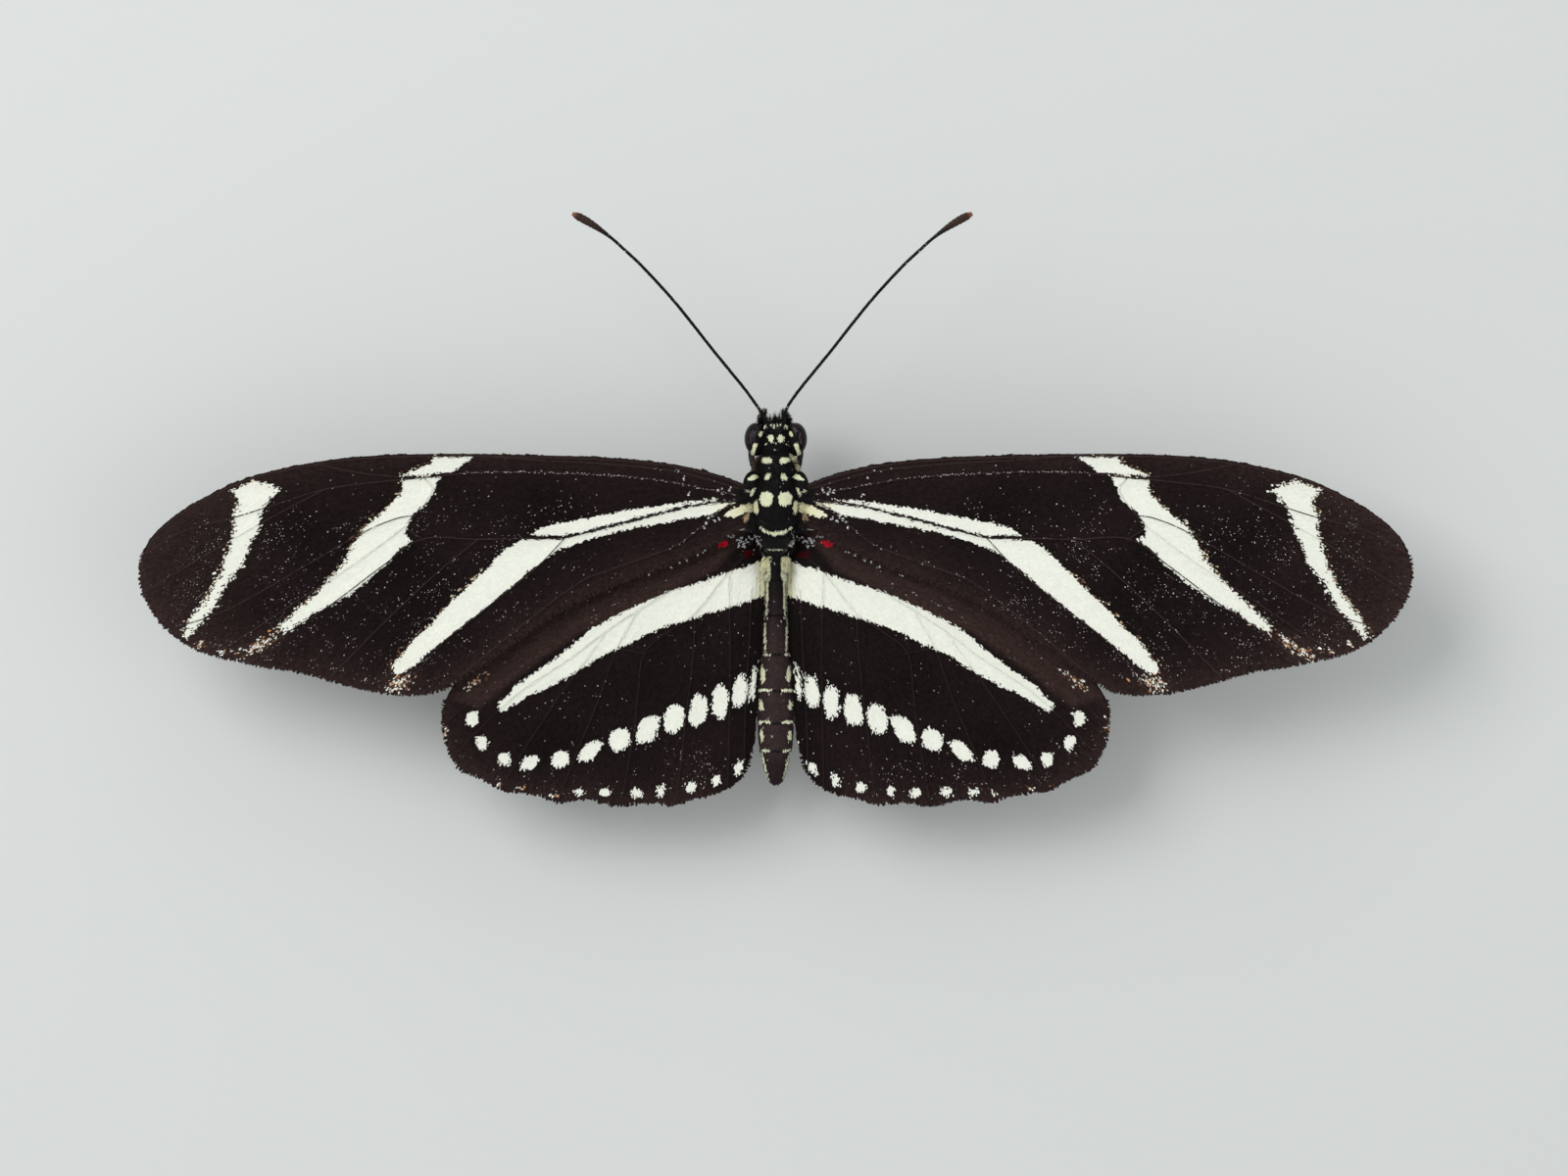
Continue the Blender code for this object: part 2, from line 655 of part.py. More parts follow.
def build_tube(name, points, radii, ways, collection):
    rings = [leg_ring(*row) for row in zip(points, ways, radii)]
    sign = -1 if name.endswith("left") else 1
    rings = [[(sign * x, y, z) for x, y, z in ring] for ring in rings]
    return mesh_object(name, *closed_loft(rings), collection, "leg")


def build_leg(kind, side, collection):
    """One leg in three lengths, parted at the knee and the ankle by a thin gap."""
    spots = []
    joints = []
    for part in LEG_NODES:
        spots += LEGS[kind][part]
        joints.append(len(spots) - 1)
    points, radii = leg_path(spots)
    ways = [heading(points, index) for index in range(len(points))]
    first = 0
    for part, last in zip(LEG_NODES, joints):
        run = list(range(first, last + 1))
        here = [points[index].copy() for index in run]
        if first > 0:
            here[0] += ways[first] * GAP / 2
        if last < len(points) - 1:
            here[-1] -= ways[last] * GAP / 2
        name = f"{kind}_{part}_{side}"
        build_tube(name, here, [radii[i] for i in run], [ways[i] for i in run], collection)
        first = last


def build_foreleg(side, collection):
    """The small front leg, folded up under the front of the thorax."""
    points, radii = leg_path(FORELEG_PATH)
    ways = [heading(points, index) for index in range(len(points))]
    build_tube(f"foreleg_{side}", points, radii, ways, collection)


def build():
    clear_scene()
    parts = new_collection(PARTS_NAME)
    cutters = new_collection("cutters")
    build_head(parts, cutters)
    build_body(parts)
    build_wings(parts)
    build_proboscis(parts)
    for side in SIDES:
        build_antenna(side, parts)
        build_palp(side, parts)
        build_foreleg(side, parts)
        for kind in LEGS:
            build_leg(kind, side, parts)


build()
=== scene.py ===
import math
import bpy
import numpy as np
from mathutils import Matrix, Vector
from mathutils.geometry import delaunay_2d_cdt
from mathutils.kdtree import KDTree


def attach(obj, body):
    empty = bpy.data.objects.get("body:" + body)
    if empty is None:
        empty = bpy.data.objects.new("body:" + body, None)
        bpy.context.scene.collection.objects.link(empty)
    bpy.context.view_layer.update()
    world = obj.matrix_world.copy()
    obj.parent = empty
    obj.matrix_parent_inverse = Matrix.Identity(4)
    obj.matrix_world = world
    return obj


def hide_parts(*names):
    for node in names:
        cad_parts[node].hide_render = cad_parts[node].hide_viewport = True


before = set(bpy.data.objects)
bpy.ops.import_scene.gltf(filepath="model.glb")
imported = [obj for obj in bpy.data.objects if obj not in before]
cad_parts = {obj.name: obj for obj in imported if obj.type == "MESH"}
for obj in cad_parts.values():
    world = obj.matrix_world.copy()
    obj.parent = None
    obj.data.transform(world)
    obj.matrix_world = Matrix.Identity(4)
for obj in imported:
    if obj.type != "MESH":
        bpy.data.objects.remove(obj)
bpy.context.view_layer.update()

# A zebra longwing, seen from straight above. Every size here is in millimetres, +X to the right wing's tip,
# +Y to the head, +Z up from the floor.
MM = 0.001
SIDES = {"left": -1.0, "right": 1.0}

# The camera looks straight down; the frame is VIEW_WIDTH wide at the wings' level.
CAMERA_AT = (0.54, -5.14, 593.0)
VIEW_WIDTH = 102.2
WING_LEVEL = 8.5
SENSOR = 36.0

# The floor's side and the lights' names, powers, sizes and places, in metres and watts.
FLOOR_SIZE = 4.0
LIGHTS = [("key", 1.4, 0.3, (-0.26, 0.2, 0.42)), ("fill", 0.42, 0.5, (0.45, -0.2, 0.35)),
          ("back", 0.3, 0.3, (0.05, 0.5, 0.25))]

# Heights of the wings' middle surfaces, as in the solids.
FOREWING_ROOT_HEIGHT = 8.15
WING_SPAN = 39.0
WING_ROOT_X = 2.0
WING_RISE = 1.9
WING_ARCH = 1.1
WING_TILT = 0.02
HINDWING_DROP = 1.15
HINDWING_SAG = 0.5
SAG_START = -7.0
SAG_LENGTH = 12.0
ANAL_FOLD = 0.55
ANAL_FOLD_WIDTH = 1.1

# The right forewing seen from above: its margin from the root's front round the tip to the root's back.
FOREWING_MARGIN = [
    (2.1, 1.72), (4.2, 2.42), (7.1, 3.03), (11.4, 3.42), (16.8, 3.58), (22.2, 3.64), (27.5, 3.42),
    (31.7, 2.78), (34.7, 1.96), (37.0, 0.92), (39.2, -0.42), (40.75, -1.9), (41.4, -3.5), (41.35, -5.0),
    (40.75, -6.4), (39.7, -7.8), (38.3, -8.9), (36.7, -9.6), (35.0, -9.95), (33.2, -10.35),
    (31.0, -10.65), (28.7, -11.3), (26.4, -11.85), (24.0, -12.15), (22.3, -12.0), (21.0, -11.45),
    (18.1, -9.5), (15.0, -7.33), (12.8, -6.05), (9.5, -4.63), (6.0, -3.3), (4.0, -2.35), (2.5, -1.5)]
FOREWING_ROOT = [(1.2, -1.1), (1.0, 0.1), (1.2, 1.3)]

# Each vein has its line and how dark it is drawn where it crosses a pale band.
FOREWING_VEINS = [
    ([(2.3, 0.9), (4.2, 1.25), (6.9, 1.76), (9.6, 2.12), (13.2, 2.32), (16.8, 2.42), (20.0, 2.35),
      (22.9, 2.05), (26.0, 1.75), (29.4, 1.28), (33.0, 0.16), (35.1, -0.5), (38.7, -1.5),
      (41.1, -2.9)], 0.97),
    ([(2.4, 1.35), (6.5, 2.45), (11.4, 2.95), (15.0, 3.15), (19.0, 3.45)], 0.8),
    ([(23.6, 2.0), (27.0, 2.35), (30.0, 2.95)], 0.4),
    ([(29.4, 1.28), (33.3, -0.8), (37.3, -3.1), (41.0, -5.3)], 0.25),
    ([(22.9, 2.05), (22.4, 1.2), (23.4, -0.3), (24.1, -1.1), (23.0, -1.95)], 0.25),
    ([(23.5, -0.4), (24.8, -0.65), (27.0, -1.6), (31.5, -4.2), (35.8, -6.6), (39.4, -7.8)], 0.94),
    ([(24.1, -1.1), (27.5, -3.6), (31.5, -6.2), (35.0, -8.5), (36.7, -9.35)], 0.2),
    ([(2.2, 0.62), (3.7, 0.48), (6.0, 0.12), (8.7, -0.57), (11.45, -1.28), (13.7, -1.85), (16.2, -1.9),
      (19.4, -1.97), (23.0, -1.95), (25.6, -3.7), (29.0, -6.25), (32.0, -8.2), (34.2, -10.0)], 1.0),
    ([(19.4, -1.97), (22.0, -4.1), (25.0, -6.9), (27.6, -9.5), (29.1, -11.0)], 0.3),
    ([(13.7, -1.85), (15.8, -4.0), (19.3, -6.8), (22.0, -9.0), (24.2, -11.8)], 0.93),
    ([(2.35, 0.78), (3.0, 0.34), (3.6, -0.12), (4.15, -0.58), (4.8, -1.1), (6.5, -2.35), (8.6, -3.18),
      (11.0, -4.03), (13.0, -4.9), (16.7, -7.7), (20.4, -10.8)], 0.98)]

# The pale bands of the right forewing, from the tip inwards, each the mean of the photo's two sides.
FOREWING_BANDS = [
    [(32.25, 1.25), (32.9, 1.6), (33.8, 1.82), (34.6, 1.62), (35.4, 1.2), (34.95, 0.75), (35.0, 0.25),
     (35.3, -0.4), (35.22, -1.3), (35.5, -2.3), (35.95, -3.7), (36.4, -4.7), (36.9, -5.6), (37.7, -6.6),
     (38.3, -7.45), (38.6, -8.35), (38.3, -8.5), (37.5, -7.5), (36.6, -6.5), (36.05, -5.3), (35.3, -4.35),
     (34.65, -3.5), (34.05, -2.0), (33.6, -1.0), (33.5, -0.25), (33.1, 0.4)],
    [(19.6, 3.42), (22.3, 3.4), (22.5, 2.95), (23.6, 2.55), (24.4, 2.15), (20.9, 2.4), (20.3, 2.95)],
    [(21.75, 2.15), (24.3, 1.88), (24.3, 1.25), (25.2, 0.15), (26.15, -0.65), (26.75, -1.2), (27.5, -2.2),
     (27.95, -3.25), (28.7, -4.2), (29.4, -4.95), (30.5, -6.0), (31.45, -6.9), (32.4, -7.67), (32.0, -8.0),
     (31.35, -7.7), (30.1, -6.8), (28.8, -6.22), (27.75, -5.5), (26.8, -4.88), (25.5, -3.75), (24.45, -2.65),
     (23.65, -2.05), (24.15, -1.6), (24.0, -0.95), (23.55, -0.3), (22.55, 0.54), (22.25, 1.25)],
    [(3.6, 0.66), (6.0, 0.48), (7.7, 0.25), (10.6, -0.25), (13.1, -0.73), (14.7, -1.1), (15.4, -1.35),
     (16.0, -1.7), (13.7, -1.74), (11.4, -1.18), (8.7, -0.46), (6.0, 0.21)],
    [(2.5, 0.48), (3.7, 0.41), (6.0, 0.05), (8.7, -0.65), (11.4, -1.35), (13.6, -1.91), (16.6, -2.01),
     (17.6, -2.65), (18.3, -3.3), (19.75, -4.8), (21.4, -6.35), (22.9, -7.9), (24.0, -9.0), (25.0, -10.3),
     (24.8, -10.75), (24.35, -10.72), (23.4, -10.0), (21.8, -8.7), (19.85, -7.2), (17.9, -5.6),
     (16.0, -4.05), (14.9, -3.2), (14.2, -2.65), (12.3, -2.0), (10.4, -1.5), (7.9, -1.0), (5.2, -0.55),
     (4.3, -0.4), (3.7, -0.1)],
    [(1.7, 0.26), (2.17, 0.29), (3.23, -0.24), (3.5, -0.56), (2.66, -0.5), (1.7, -0.17)]]

# The right hindwing in the same way; its inner edge follows the abdomen.
HINDWING_MARGIN = [
    (1.9, -1.35), (4.2, -1.3), (8.5, -2.2), (13.5, -4.5), (17.5, -7.8), (20.2, -10.5), (21.5, -12.2),
    (21.8, -13.8), (21.6, -15.2), (21.0, -16.5), (20.2, -17.25), (19.2, -17.6), (17.9, -18.35),
    (16.4, -18.55), (15.3, -18.75), (14.1, -19.15), (12.3, -18.95), (10.2, -19.4), (8.4, -19.15),
    (6.6, -19.3), (5.3, -18.9), (3.9, -18.6), (2.7, -18.0), (1.95, -17.2), (1.6, -16.3)]
HINDWING_ROOT = [(1.38, -15.0), (1.27, -13.5), (1.1, -11.5), (0.98, -10.0), (0.85, -8.5), (0.78, -7.0),
                 (0.74, -5.0), (0.8, -3.4), (0.95, -2.3), (1.1, -1.6)]
HINDWING_VEINS = [
    ([(1.95, -2.3), (3.8, -2.95), (6.5, -4.25), (10.1, -6.0), (12.7, -7.05), (16.2, -9.5), (19.2, -11.9),
      (21.5, -13.9)], 0.3),
    ([(3.8, -2.95), (6.3, -4.9), (9.0, -6.6), (11.0, -7.9), (13.4, -9.7), (16.8, -12.0), (19.5, -14.5),
      (21.1, -16.2)], 0.2),
    ([(11.0, -7.9), (14.0, -12.0), (16.95, -16.5), (17.9, -18.2)], 0.15),
    ([(9.0, -6.6), (10.4, -9.1), (11.6, -12.5), (13.1, -16.1), (14.2, -18.9)], 0.15),
    ([(1.9, -3.0), (3.1, -4.1), (5.3, -6.8), (7.0, -8.0), (8.6, -9.4), (9.0, -12.0), (9.3, -14.7),
      (10.1, -19.2)], 0.2),
    ([(10.4, -9.1), (8.6, -9.4)], 0.1),
    ([(5.3, -6.8), (5.4, -9.5), (5.85, -13.4), (6.5, -19.1)], 0.15),
    ([(3.1, -4.1), (3.0, -8.0), (3.0, -12.2), (3.15, -18.2)], 0.15),
    ([(1.6, -5.2), (1.75, -9.0), (1.95, -12.0), (2.1, -17.1)], 0.25)]
HINDWING_BANDS = [
    [(0.7, -3.3), (1.8, -3.7), (3.25, -4.1), (4.9, -4.73), (6.9, -5.35), (8.4, -5.97), (9.85, -6.65),
     (11.8, -7.67), (13.25, -8.75), (14.9, -10.1), (16.7, -11.35), (17.6, -12.2), (18.2, -12.75),
     (17.9, -13.2), (17.1, -12.8), (16.2, -12.2), (14.65, -11.55), (13.15, -10.75), (11.9, -9.95),
     (10.9, -9.35), (9.5, -8.75), (8.3, -8.12), (7.2, -7.67), (5.5, -7.15), (3.9, -6.62), (2.2, -6.1),
     (0.7, -5.59)]]

# Spots as (x, y, half width, half length, lean); the lean is the top's sideways move over a half length.
HINDWING_SPOTS = [
    (1.5, -11.5, 0.2, 1.15, -0.1), (2.37, -11.9, 0.5, 1.08, -0.12), (3.64, -12.6, 0.55, 1.1, -0.1),
    (5.08, -13.13, 0.61, 1.03, -0.12), (6.65, -13.68, 0.65, 0.98, -0.15), (8.37, -14.35, 0.68, 0.91, -0.3),
    (10.2, -15.05, 0.67, 0.77, -0.1), (12.15, -15.8, 0.62, 0.7, -0.4), (14.05, -16.35, 0.55, 0.6, 0.0),
    (16.1, -16.55, 0.6, 0.5, -0.3), (17.77, -16.33, 0.45, 0.47, 0.0), (19.2, -15.25, 0.4, 0.45, 0.0),
    (19.8, -13.71, 0.42, 0.53, 0.0), (2.4, -16.95, 0.27, 0.5, -0.1), (3.9, -17.73, 0.28, 0.42, -0.05),
    (5.56, -18.18, 0.32, 0.37, 0.0), (7.48, -18.43, 0.29, 0.36, 0.0), (9.17, -18.5, 0.38, 0.32, 0.0),
    (11.15, -18.5, 0.34, 0.3, 0.0), (12.87, -18.46, 0.3, 0.2, 0.0), (1.52, -16.0, 0.08, 0.3, 0.0)]

# Loose patches of orange and white scales at the bands' ends: centre, half sizes and how thickly they lie.
FOREWING_PATCHES = [
    (33.6, -8.85, 1.4, 0.3, -0.6, 0.8), (24.6, -11.35, 0.8, 0.42, -0.45, 0.85),
    (36.05, -9.3, 0.32, 0.15, -0.3, 0.9), (37.5, -8.8, 0.28, 0.14, -0.6, 0.8),
    (34.9, -9.75, 0.3, 0.12, -0.3, 0.6)]
HINDWING_PATCHES = [
    (19.6, -11.25, 0.75, 0.17, -0.75, 0.85), (21.55, -14.4, 0.15, 0.5, 0.0, 0.6),
    (16.6, -18.2, 0.3, 0.14, 0.0, 0.6), (18.1, -18.0, 0.25, 0.12, 0.0, 0.6),
    (14.4, -18.7, 0.25, 0.14, 0.0, 0.6)]

# Where white scales are strung along a forewing vein: its place in the list, from x to x, and how thickly.
FOREWING_BEADS = [(0, 2.5, 9.0, 0.5), (0, 9.0, 20.5, 0.7), (7, 2.5, 6.0, 0.2), (10, 2.4, 7.0, 0.3),
                  (1, 3.0, 8.0, 0.12)]
HINDWING_BEADS = [(0, 7.0, 12.0, 0.12)]

# Small white specks near the wings' roots, each a few scales.
FOREWING_SPECKS = [
    (3.6, -0.55), (3.9, -0.75), (4.3, -0.6), (4.5, -0.85), (4.6, -1.15), (4.1, -0.45), (2.9, 1.35),
    (3.0, 1.15), (3.4, 1.3), (3.7, 1.15), (3.35, 1.0), (5.9, 2.0), (5.6, 0.95), (6.3, 2.55)]
HINDWING_SPECKS = [
    (1.45, -1.92), (1.65, -1.85), (1.85, -2.0), (2.0, -2.22), (2.15, -1.88), (2.3, -2.15), (2.42, -1.98),
    (2.05, -2.42), (1.7, -2.15), (2.38, -2.38), (2.2, -2.05), (2.65, -1.74), (2.85, -1.8), (3.05, -1.75),
    (4.63, -2.73), (5.1, -2.93), (5.75, -3.24), (6.2, -3.44), (6.7, -3.75), (8.2, -4.2)]

# Crimson spots at the wings' roots as (spot, raggedness, brightness), for the upper faces and the lower ones.
DARK_RED_SPOT = ((1.85, -2.92, 0.28, 0.25, 0.0), 0.05, 0.09)
RED_SPOTS = {True: [((3.38, -2.27, 0.36, 0.22, 0.0), 0.03, 1.0), DARK_RED_SPOT],
             False: [((3.38, -2.9, 0.36, 0.22, 0.0), 0.03, 1.0), DARK_RED_SPOT]}

# How far the brown edge of the outer pale bands reaches, and from which x outwards it shows.
HALO_REACH = 0.42
HALO_START = 19.0

# Thickness of the wing's membrane, its veins' ridges and the scales on it.
HALF_MEMBRANE = 0.055
RIDGE_HEIGHT = 0.13
RIDGE_WIDTH = 0.1
COSTA_INSET = 0.12
SKIN_GRID = 0.3
CREST_STEP = 0.25
RIM_STEP = 0.25
EDGE_INSET = 0.2
COSTA_EDGE_INSET = 0.06
CELL_BILLOW = 0.09
SCALE_GRID = {True: 0.165, False: 0.2}
EDGE_GRID = 0.1
EDGE_ZONE = 0.3
VEIN_CLEARANCE = 0.045
SCALE_SPACING = 0.15
SPOT_TRIM = 0.025
SCALE_LENGTH = 0.3
SCALE_WIDTH = 0.19
SCALE_LIFT = 0.032
SCALE_SINK = 0.012
SCALE_THICKNESS = 0.02
TIP_SHARE = 0.42
CREST_SCALE = (0.2, 0.085, 0.022)
FLECK_LENGTH = (0.07, 0.14)
FLECK_WIDTH = (0.045, 0.08)
FLECK_LIFT = 0.05
FLECK_GRID = 0.19
FRINGE_LENGTH = 0.27
FRINGE_WIDTH = 0.11
FRINGE_ROWS = 3
FRONT_ROWS = (0.05, 0.05, 0.35, 0.35, 0.65, 0.65, 0.95, 0.95)
FRONT_SCALE_LENGTH = 0.28
FRONT_SCALE_WIDTH = 0.16
SCALES_PER_SPECK = 4
SPECK_SPREAD = 0.035

# Lengths, widths and lifts of the scales on antennae, palps, legs and wing-root plates.
ANTENNA_SCALE = (0.13, 0.07, 0.014)
PALP_SCALE = (0.16, 0.09, 0.03)
LEG_SCALE = (0.13, 0.065, 0.016)
TEGULA_SCALE = (0.16, 0.09, 0.025)

# Where each set of random draws starts, and a distance that lies beyond every mark.
SEEDS = {"body scales": 7, "body hair": 9, "cheeks": 17, "palps": 23, "legs": 31, "tegulae": 41,
         "antennae": 61, "wings": 100}
FAR = 9.0

# Shares of the map: a scale's own patch, the free edge, and where a form lies as (u, v, width, height).
UV_PATCH = 0.003
UV_EDGE = 0.015
FORM_CHART = (0.02, 0.02, 0.96, 0.96)
TUBE_CHART = (0.02, 0.02, 0.96, 0.3)

# The faces of a scale and of a hair by their corners, and where the corners lie in its patch of the map.
SCALE_FACES = [(0, 1, 2), (0, 2, 3), (1, 0, 4), (3, 2, 4), (1, 4, 2), (0, 3, 4)]
SCALE_CORNERS = [(-0.5, -0.5), (0.5, -0.5), (0.5, 0.5), (-0.5, 0.5), (0.0, 0.0)]
HAIR_FACES = [(0, 2, 1), (0, 1, 4), (0, 4, 3), (1, 2, 5), (1, 5, 4), (2, 0, 3), (2, 3, 5), (3, 4, 6),
              (4, 5, 6), (5, 3, 6)]
HAIR_CORNERS = [(-0.5, -0.5), (0.5, -0.5), (0, -0.5), (-0.5, 0.3), (0.5, 0.3), (0, 0.3), (0, 0.5)]


def linear(red, green, blue):
    """A screen colour of 0 to 255 as the linear values that materials take."""
    parts = np.array([red, green, blue]) / 255.0
    return np.where(parts <= 0.04045, parts / 12.92, ((parts + 0.055) / 1.055) ** 2.4)


PALE = linear(240, 241, 229)
PALE_WARM = linear(233, 229, 184)
GROUND = linear(21, 14, 14)
GROUND_BROWN = linear(46, 34, 32)
# Brown for the hindwing's front: partly its own colour and partly painted sheen.
COSTAL_BROWN_AND_SHEEN = linear(54, 40, 37)
VEIN_ON_DARK = linear(60, 48, 46)
VEIN_ON_PALE = linear(38, 32, 30)
FLECK = linear(236, 232, 228)
# A brown for painted shade along the hindwing's fold.
FOLD_PAINTED_SHADE = linear(150, 132, 90)
ORANGE = linear(196, 142, 98)
HALO_BROWN = linear(96, 68, 50)
HALO_CREAM = linear(204, 192, 160)
CRIMSON = linear(190, 22, 40)
SPECK_WHITE = linear(236, 236, 238)
HALO_SIDE = np.array([-0.32, -0.1])
UNDER_PALE = linear(232, 230, 200)
UNDER_GROUND = linear(58, 45, 40)
FLOOR_GREY = linear(214, 216, 214)


def distances(line):
    """How far along a line each of its points is."""
    return np.concatenate([[0.0], np.cumsum(np.linalg.norm(np.diff(line, axis=0), axis=1))])


def curve_through(points, spacing):
    """Evenly spaced points on a smooth curve through the given ones."""
    given = np.array(points, float)
    ends = np.vstack([2 * given[0] - given[1], given, 2 * given[-1] - given[-2]])
    before, start, stop, after = (ends[i:len(ends) - 3 + i, None, :] for i in range(4))
    t = np.linspace(0.0, 1.0, 24, endpoint=False)[None, :, None]
    line = 0.5 * (2 * start + (stop - before) * t + (2 * before - 5 * start + 4 * stop - after) * t ** 2
                  + (3 * start - before - 3 * stop + after) * t ** 3)
    line = np.vstack([line.reshape(-1, given.shape[1]), given[-1]])
    reach = distances(line)
    steps = np.linspace(0.0, reach[-1], max(2, round(reach[-1] / spacing)) + 1)
    return np.stack([np.interp(steps, reach, line[:, k]) for k in range(line.shape[1])], axis=1)


def unit(vectors):
    """The vectors with length 1."""
    return vectors / np.maximum(np.linalg.norm(vectors, axis=-1, keepdims=True), 1e-9)


def signed_distance(points, outline):
    """Distance of plan points to a closed outline, below zero inside."""
    start = np.array(outline, float)
    stop = np.roll(start, -1, axis=0)
    nearest = np.full(len(points), np.inf)
    inside = np.zeros(len(points), bool)
    for a, b in zip(start, stop):
        run = b - a
        offset = points - a
        share = np.clip(offset @ run / (run @ run), 0.0, 1.0)
        nearest = np.minimum(nearest, np.linalg.norm(offset - share[:, None] * run, axis=1))
        crosses = (a[1] > points[:, 1]) != (b[1] > points[:, 1])
        slope = run[0] / run[1] if run[1] else 0.0
        inside ^= crosses & (points[:, 0] < a[0] + (points[:, 1] - a[1]) * slope)
    return np.where(inside, -nearest, nearest)


def spot_distance(points, x, y, half_width, half_length, lean):
    """Distance to a rounded, leaning spot, below zero inside."""
    up = (points[:, 1] - y) / half_length
    across = (points[:, 0] - x - lean * up) / half_width
    return ((np.abs(across) ** 2.6 + np.abs(up) ** 2.6) ** (1 / 2.6) - 1.0) * min(half_width, half_length)


def patch_share(points, x, y, half_width, half_length, slope, strength):
    """How thickly loose scales lie in a slanting patch, from 0 to its strength."""
    turn = math.atan(slope)
    across = points[:, 0] - x
    up = points[:, 1] - y
    along = (across * math.cos(turn) + up * math.sin(turn)) / half_width
    beside = (up * math.cos(turn) - across * math.sin(turn)) / half_length
    return strength * np.exp(-(along ** 2 + beside ** 2))


def ripple(points, length, seed):
    """A smooth random field of about -1 to 1 that changes over the given length."""
    rng = np.random.default_rng(seed)
    total = np.zeros(len(points))
    for _ in range(6):
        turn = rng.uniform(0, 2 * math.pi)
        wave = 2 * math.pi / (length * rng.uniform(1.2, 3.0))
        heading = np.array([math.cos(turn), math.sin(turn)])
        total += np.sin(points[:, :2] @ heading * wave + rng.uniform(0, 2 * math.pi))
    return total / 3.0


def smooth_step(value, low, high):
    """0 below low, 1 above high and a smooth rise between."""
    share = np.clip((value - low) / (high - low), 0.0, 1.0)
    return share * share * (3 - 2 * share)


def bell(value, middle, width):
    """1 at the middle, falling smoothly to 0 over a few widths."""
    return np.exp(-((value - middle) / width) ** 2)


def mixed(first, second, share):
    """Colours between two, by a share for each row."""
    return first * (1 - share[:, None]) + second * share[:, None]


def shaded(colour, low, high, count, rng):
    """A colour for each of so many rows, each a little darker or brighter at random."""
    return colour * rng.uniform(low, high, count)[:, None]


def chosen(mask, *parts):
    """The rows that the mask keeps, of each array."""
    return [part[mask] for part in parts]


def triangle_grid(low, high, spacing):
    """Plan points of an even triangular grid."""
    across = np.arange(low[0], high[0], spacing)
    rows = np.arange(low[1], high[1], spacing * 0.866)
    return np.array([(x + (k % 2) * spacing / 2, y) for k, y in enumerate(rows) for x in across])


def on_chart(shares, chart):
    """Map places from shares of a chart."""
    return np.array(shares) * chart[2:] + chart[:2]


class Surface:
    """A Principled material of the given name, roughness and specular level, and short ways to add nodes to
    it.
    """

    def __init__(self, name, roughness, specular):
        self.material = bpy.data.materials.new(name)
        self.material.use_nodes = True
        self.tree = self.material.node_tree
        self.shader = self.tree.nodes["Principled BSDF"]
        self.feed(self.shader, {"Roughness": roughness, "Specular IOR Level": specular})

    def feed(self, node, inputs):
        """Gives a node's inputs their values, or links them to other nodes' outputs."""
        for key, value in inputs.items():
            if isinstance(value, bpy.types.NodeSocket):
                self.tree.links.new(value, node.inputs[key])
            else:
                node.inputs[key].default_value = value

    def node(self, kind, output, inputs=None, **settings):
        """Adds a node and returns the output asked for."""
        node = self.tree.nodes.new("ShaderNode" + kind)
        for key, setting in settings.items():
            setattr(node, key, setting)
        self.feed(node, inputs or {})
        return node.outputs[output]

    def attribute(self, name, output="Color"):
        """A value stored on the mesh."""
        return self.node("Attribute", output, attribute_name=name)

    def grain(self, kind, output, size, stretch=(1.0, 1.0, 1.0), **settings):
        """A noise or Voronoi texture in object space whose cells are about the given size in millimetres."""
        place = self.node("TexCoord", "Object")
        vector = self.node("Mapping", "Vector", {"Vector": place, "Scale": stretch})
        return self.node("Tex" + kind, output, {"Vector": vector, "Scale": 1.0 / (size * MM), **settings})

    def tinted(self, grain, darkest, brightest):
        """The tint stored on the mesh as base colour, a little darker or brighter with the grain."""
        shade = self.node("MapRange", "Result", {"Value": grain, "To Min": darkest, "To Max": brightest})
        colour = self.node("VectorMath", "Vector", {0: self.attribute("tint"), "Scale": shade},
                           operation="SCALE")
        self.feed(self.shader, {"Base Color": colour})

    def blended(self, share, first, second):
        """A base colour between two."""
        colour = self.node("Mix", 2, {0: share, 6: first, 7: second}, data_type="RGBA")
        self.feed(self.shader, {"Base Color": colour})

    def bumped(self, height, strength, distance):
        """Adds bump by a distance in millimetres and returns the finished material."""
        bump = {"Height": height, "Strength": strength, "Distance": distance * MM}
        self.feed(self.shader, {"Normal": self.node("Bump", "Normal", bump)})
        return self.material


def coat_material(name, roughness, specular, sheen):
    """Scales and hairs: each has its own tint, with fine ribs along it."""
    surface = Surface(name, roughness, specular)
    grain = surface.grain("Noise", "Fac", 0.05, Detail=3.0)
    surface.tinted(grain, 0.82, 1.18)
    surface.feed(surface.shader, {"Sheen Weight": sheen, "Sheen Roughness": 0.4})
    return surface.bumped(grain, 0.4, 0.01)


def marked_material(name, roughness, specular):
    """A skin under the scales: pale inside the marks' edge and dark outside, ragged as the scales are."""
    surface = Surface(name, roughness, specular)
    cells = surface.grain("Voronoi", "Distance", 0.14)
    ragged = surface.node("Math", "Value", {0: cells, 1: 0.12, 2: surface.attribute("edge", "Fac")},
                          operation="MULTIPLY_ADD")
    inside = surface.node("MapRange", "Result", {"Value": ragged, "From Min": 0.08, "From Max": 0.0},
                          interpolation_type="SMOOTHSTEP")
    surface.blended(inside, surface.attribute("ground"), surface.attribute("pale"))
    return surface.bumped(cells, 0.5, 0.02)


def plain_material(name, roughness, specular, grain_size, grain_depth):
    """A hard skin whose colour is stored on its points, with fine grain."""
    surface = Surface(name, roughness, specular)
    grain = surface.grain("Voronoi", "Distance", grain_size)
    surface.tinted(grain, 0.7, 1.2)
    return surface.bumped(grain, 0.6, grain_depth)


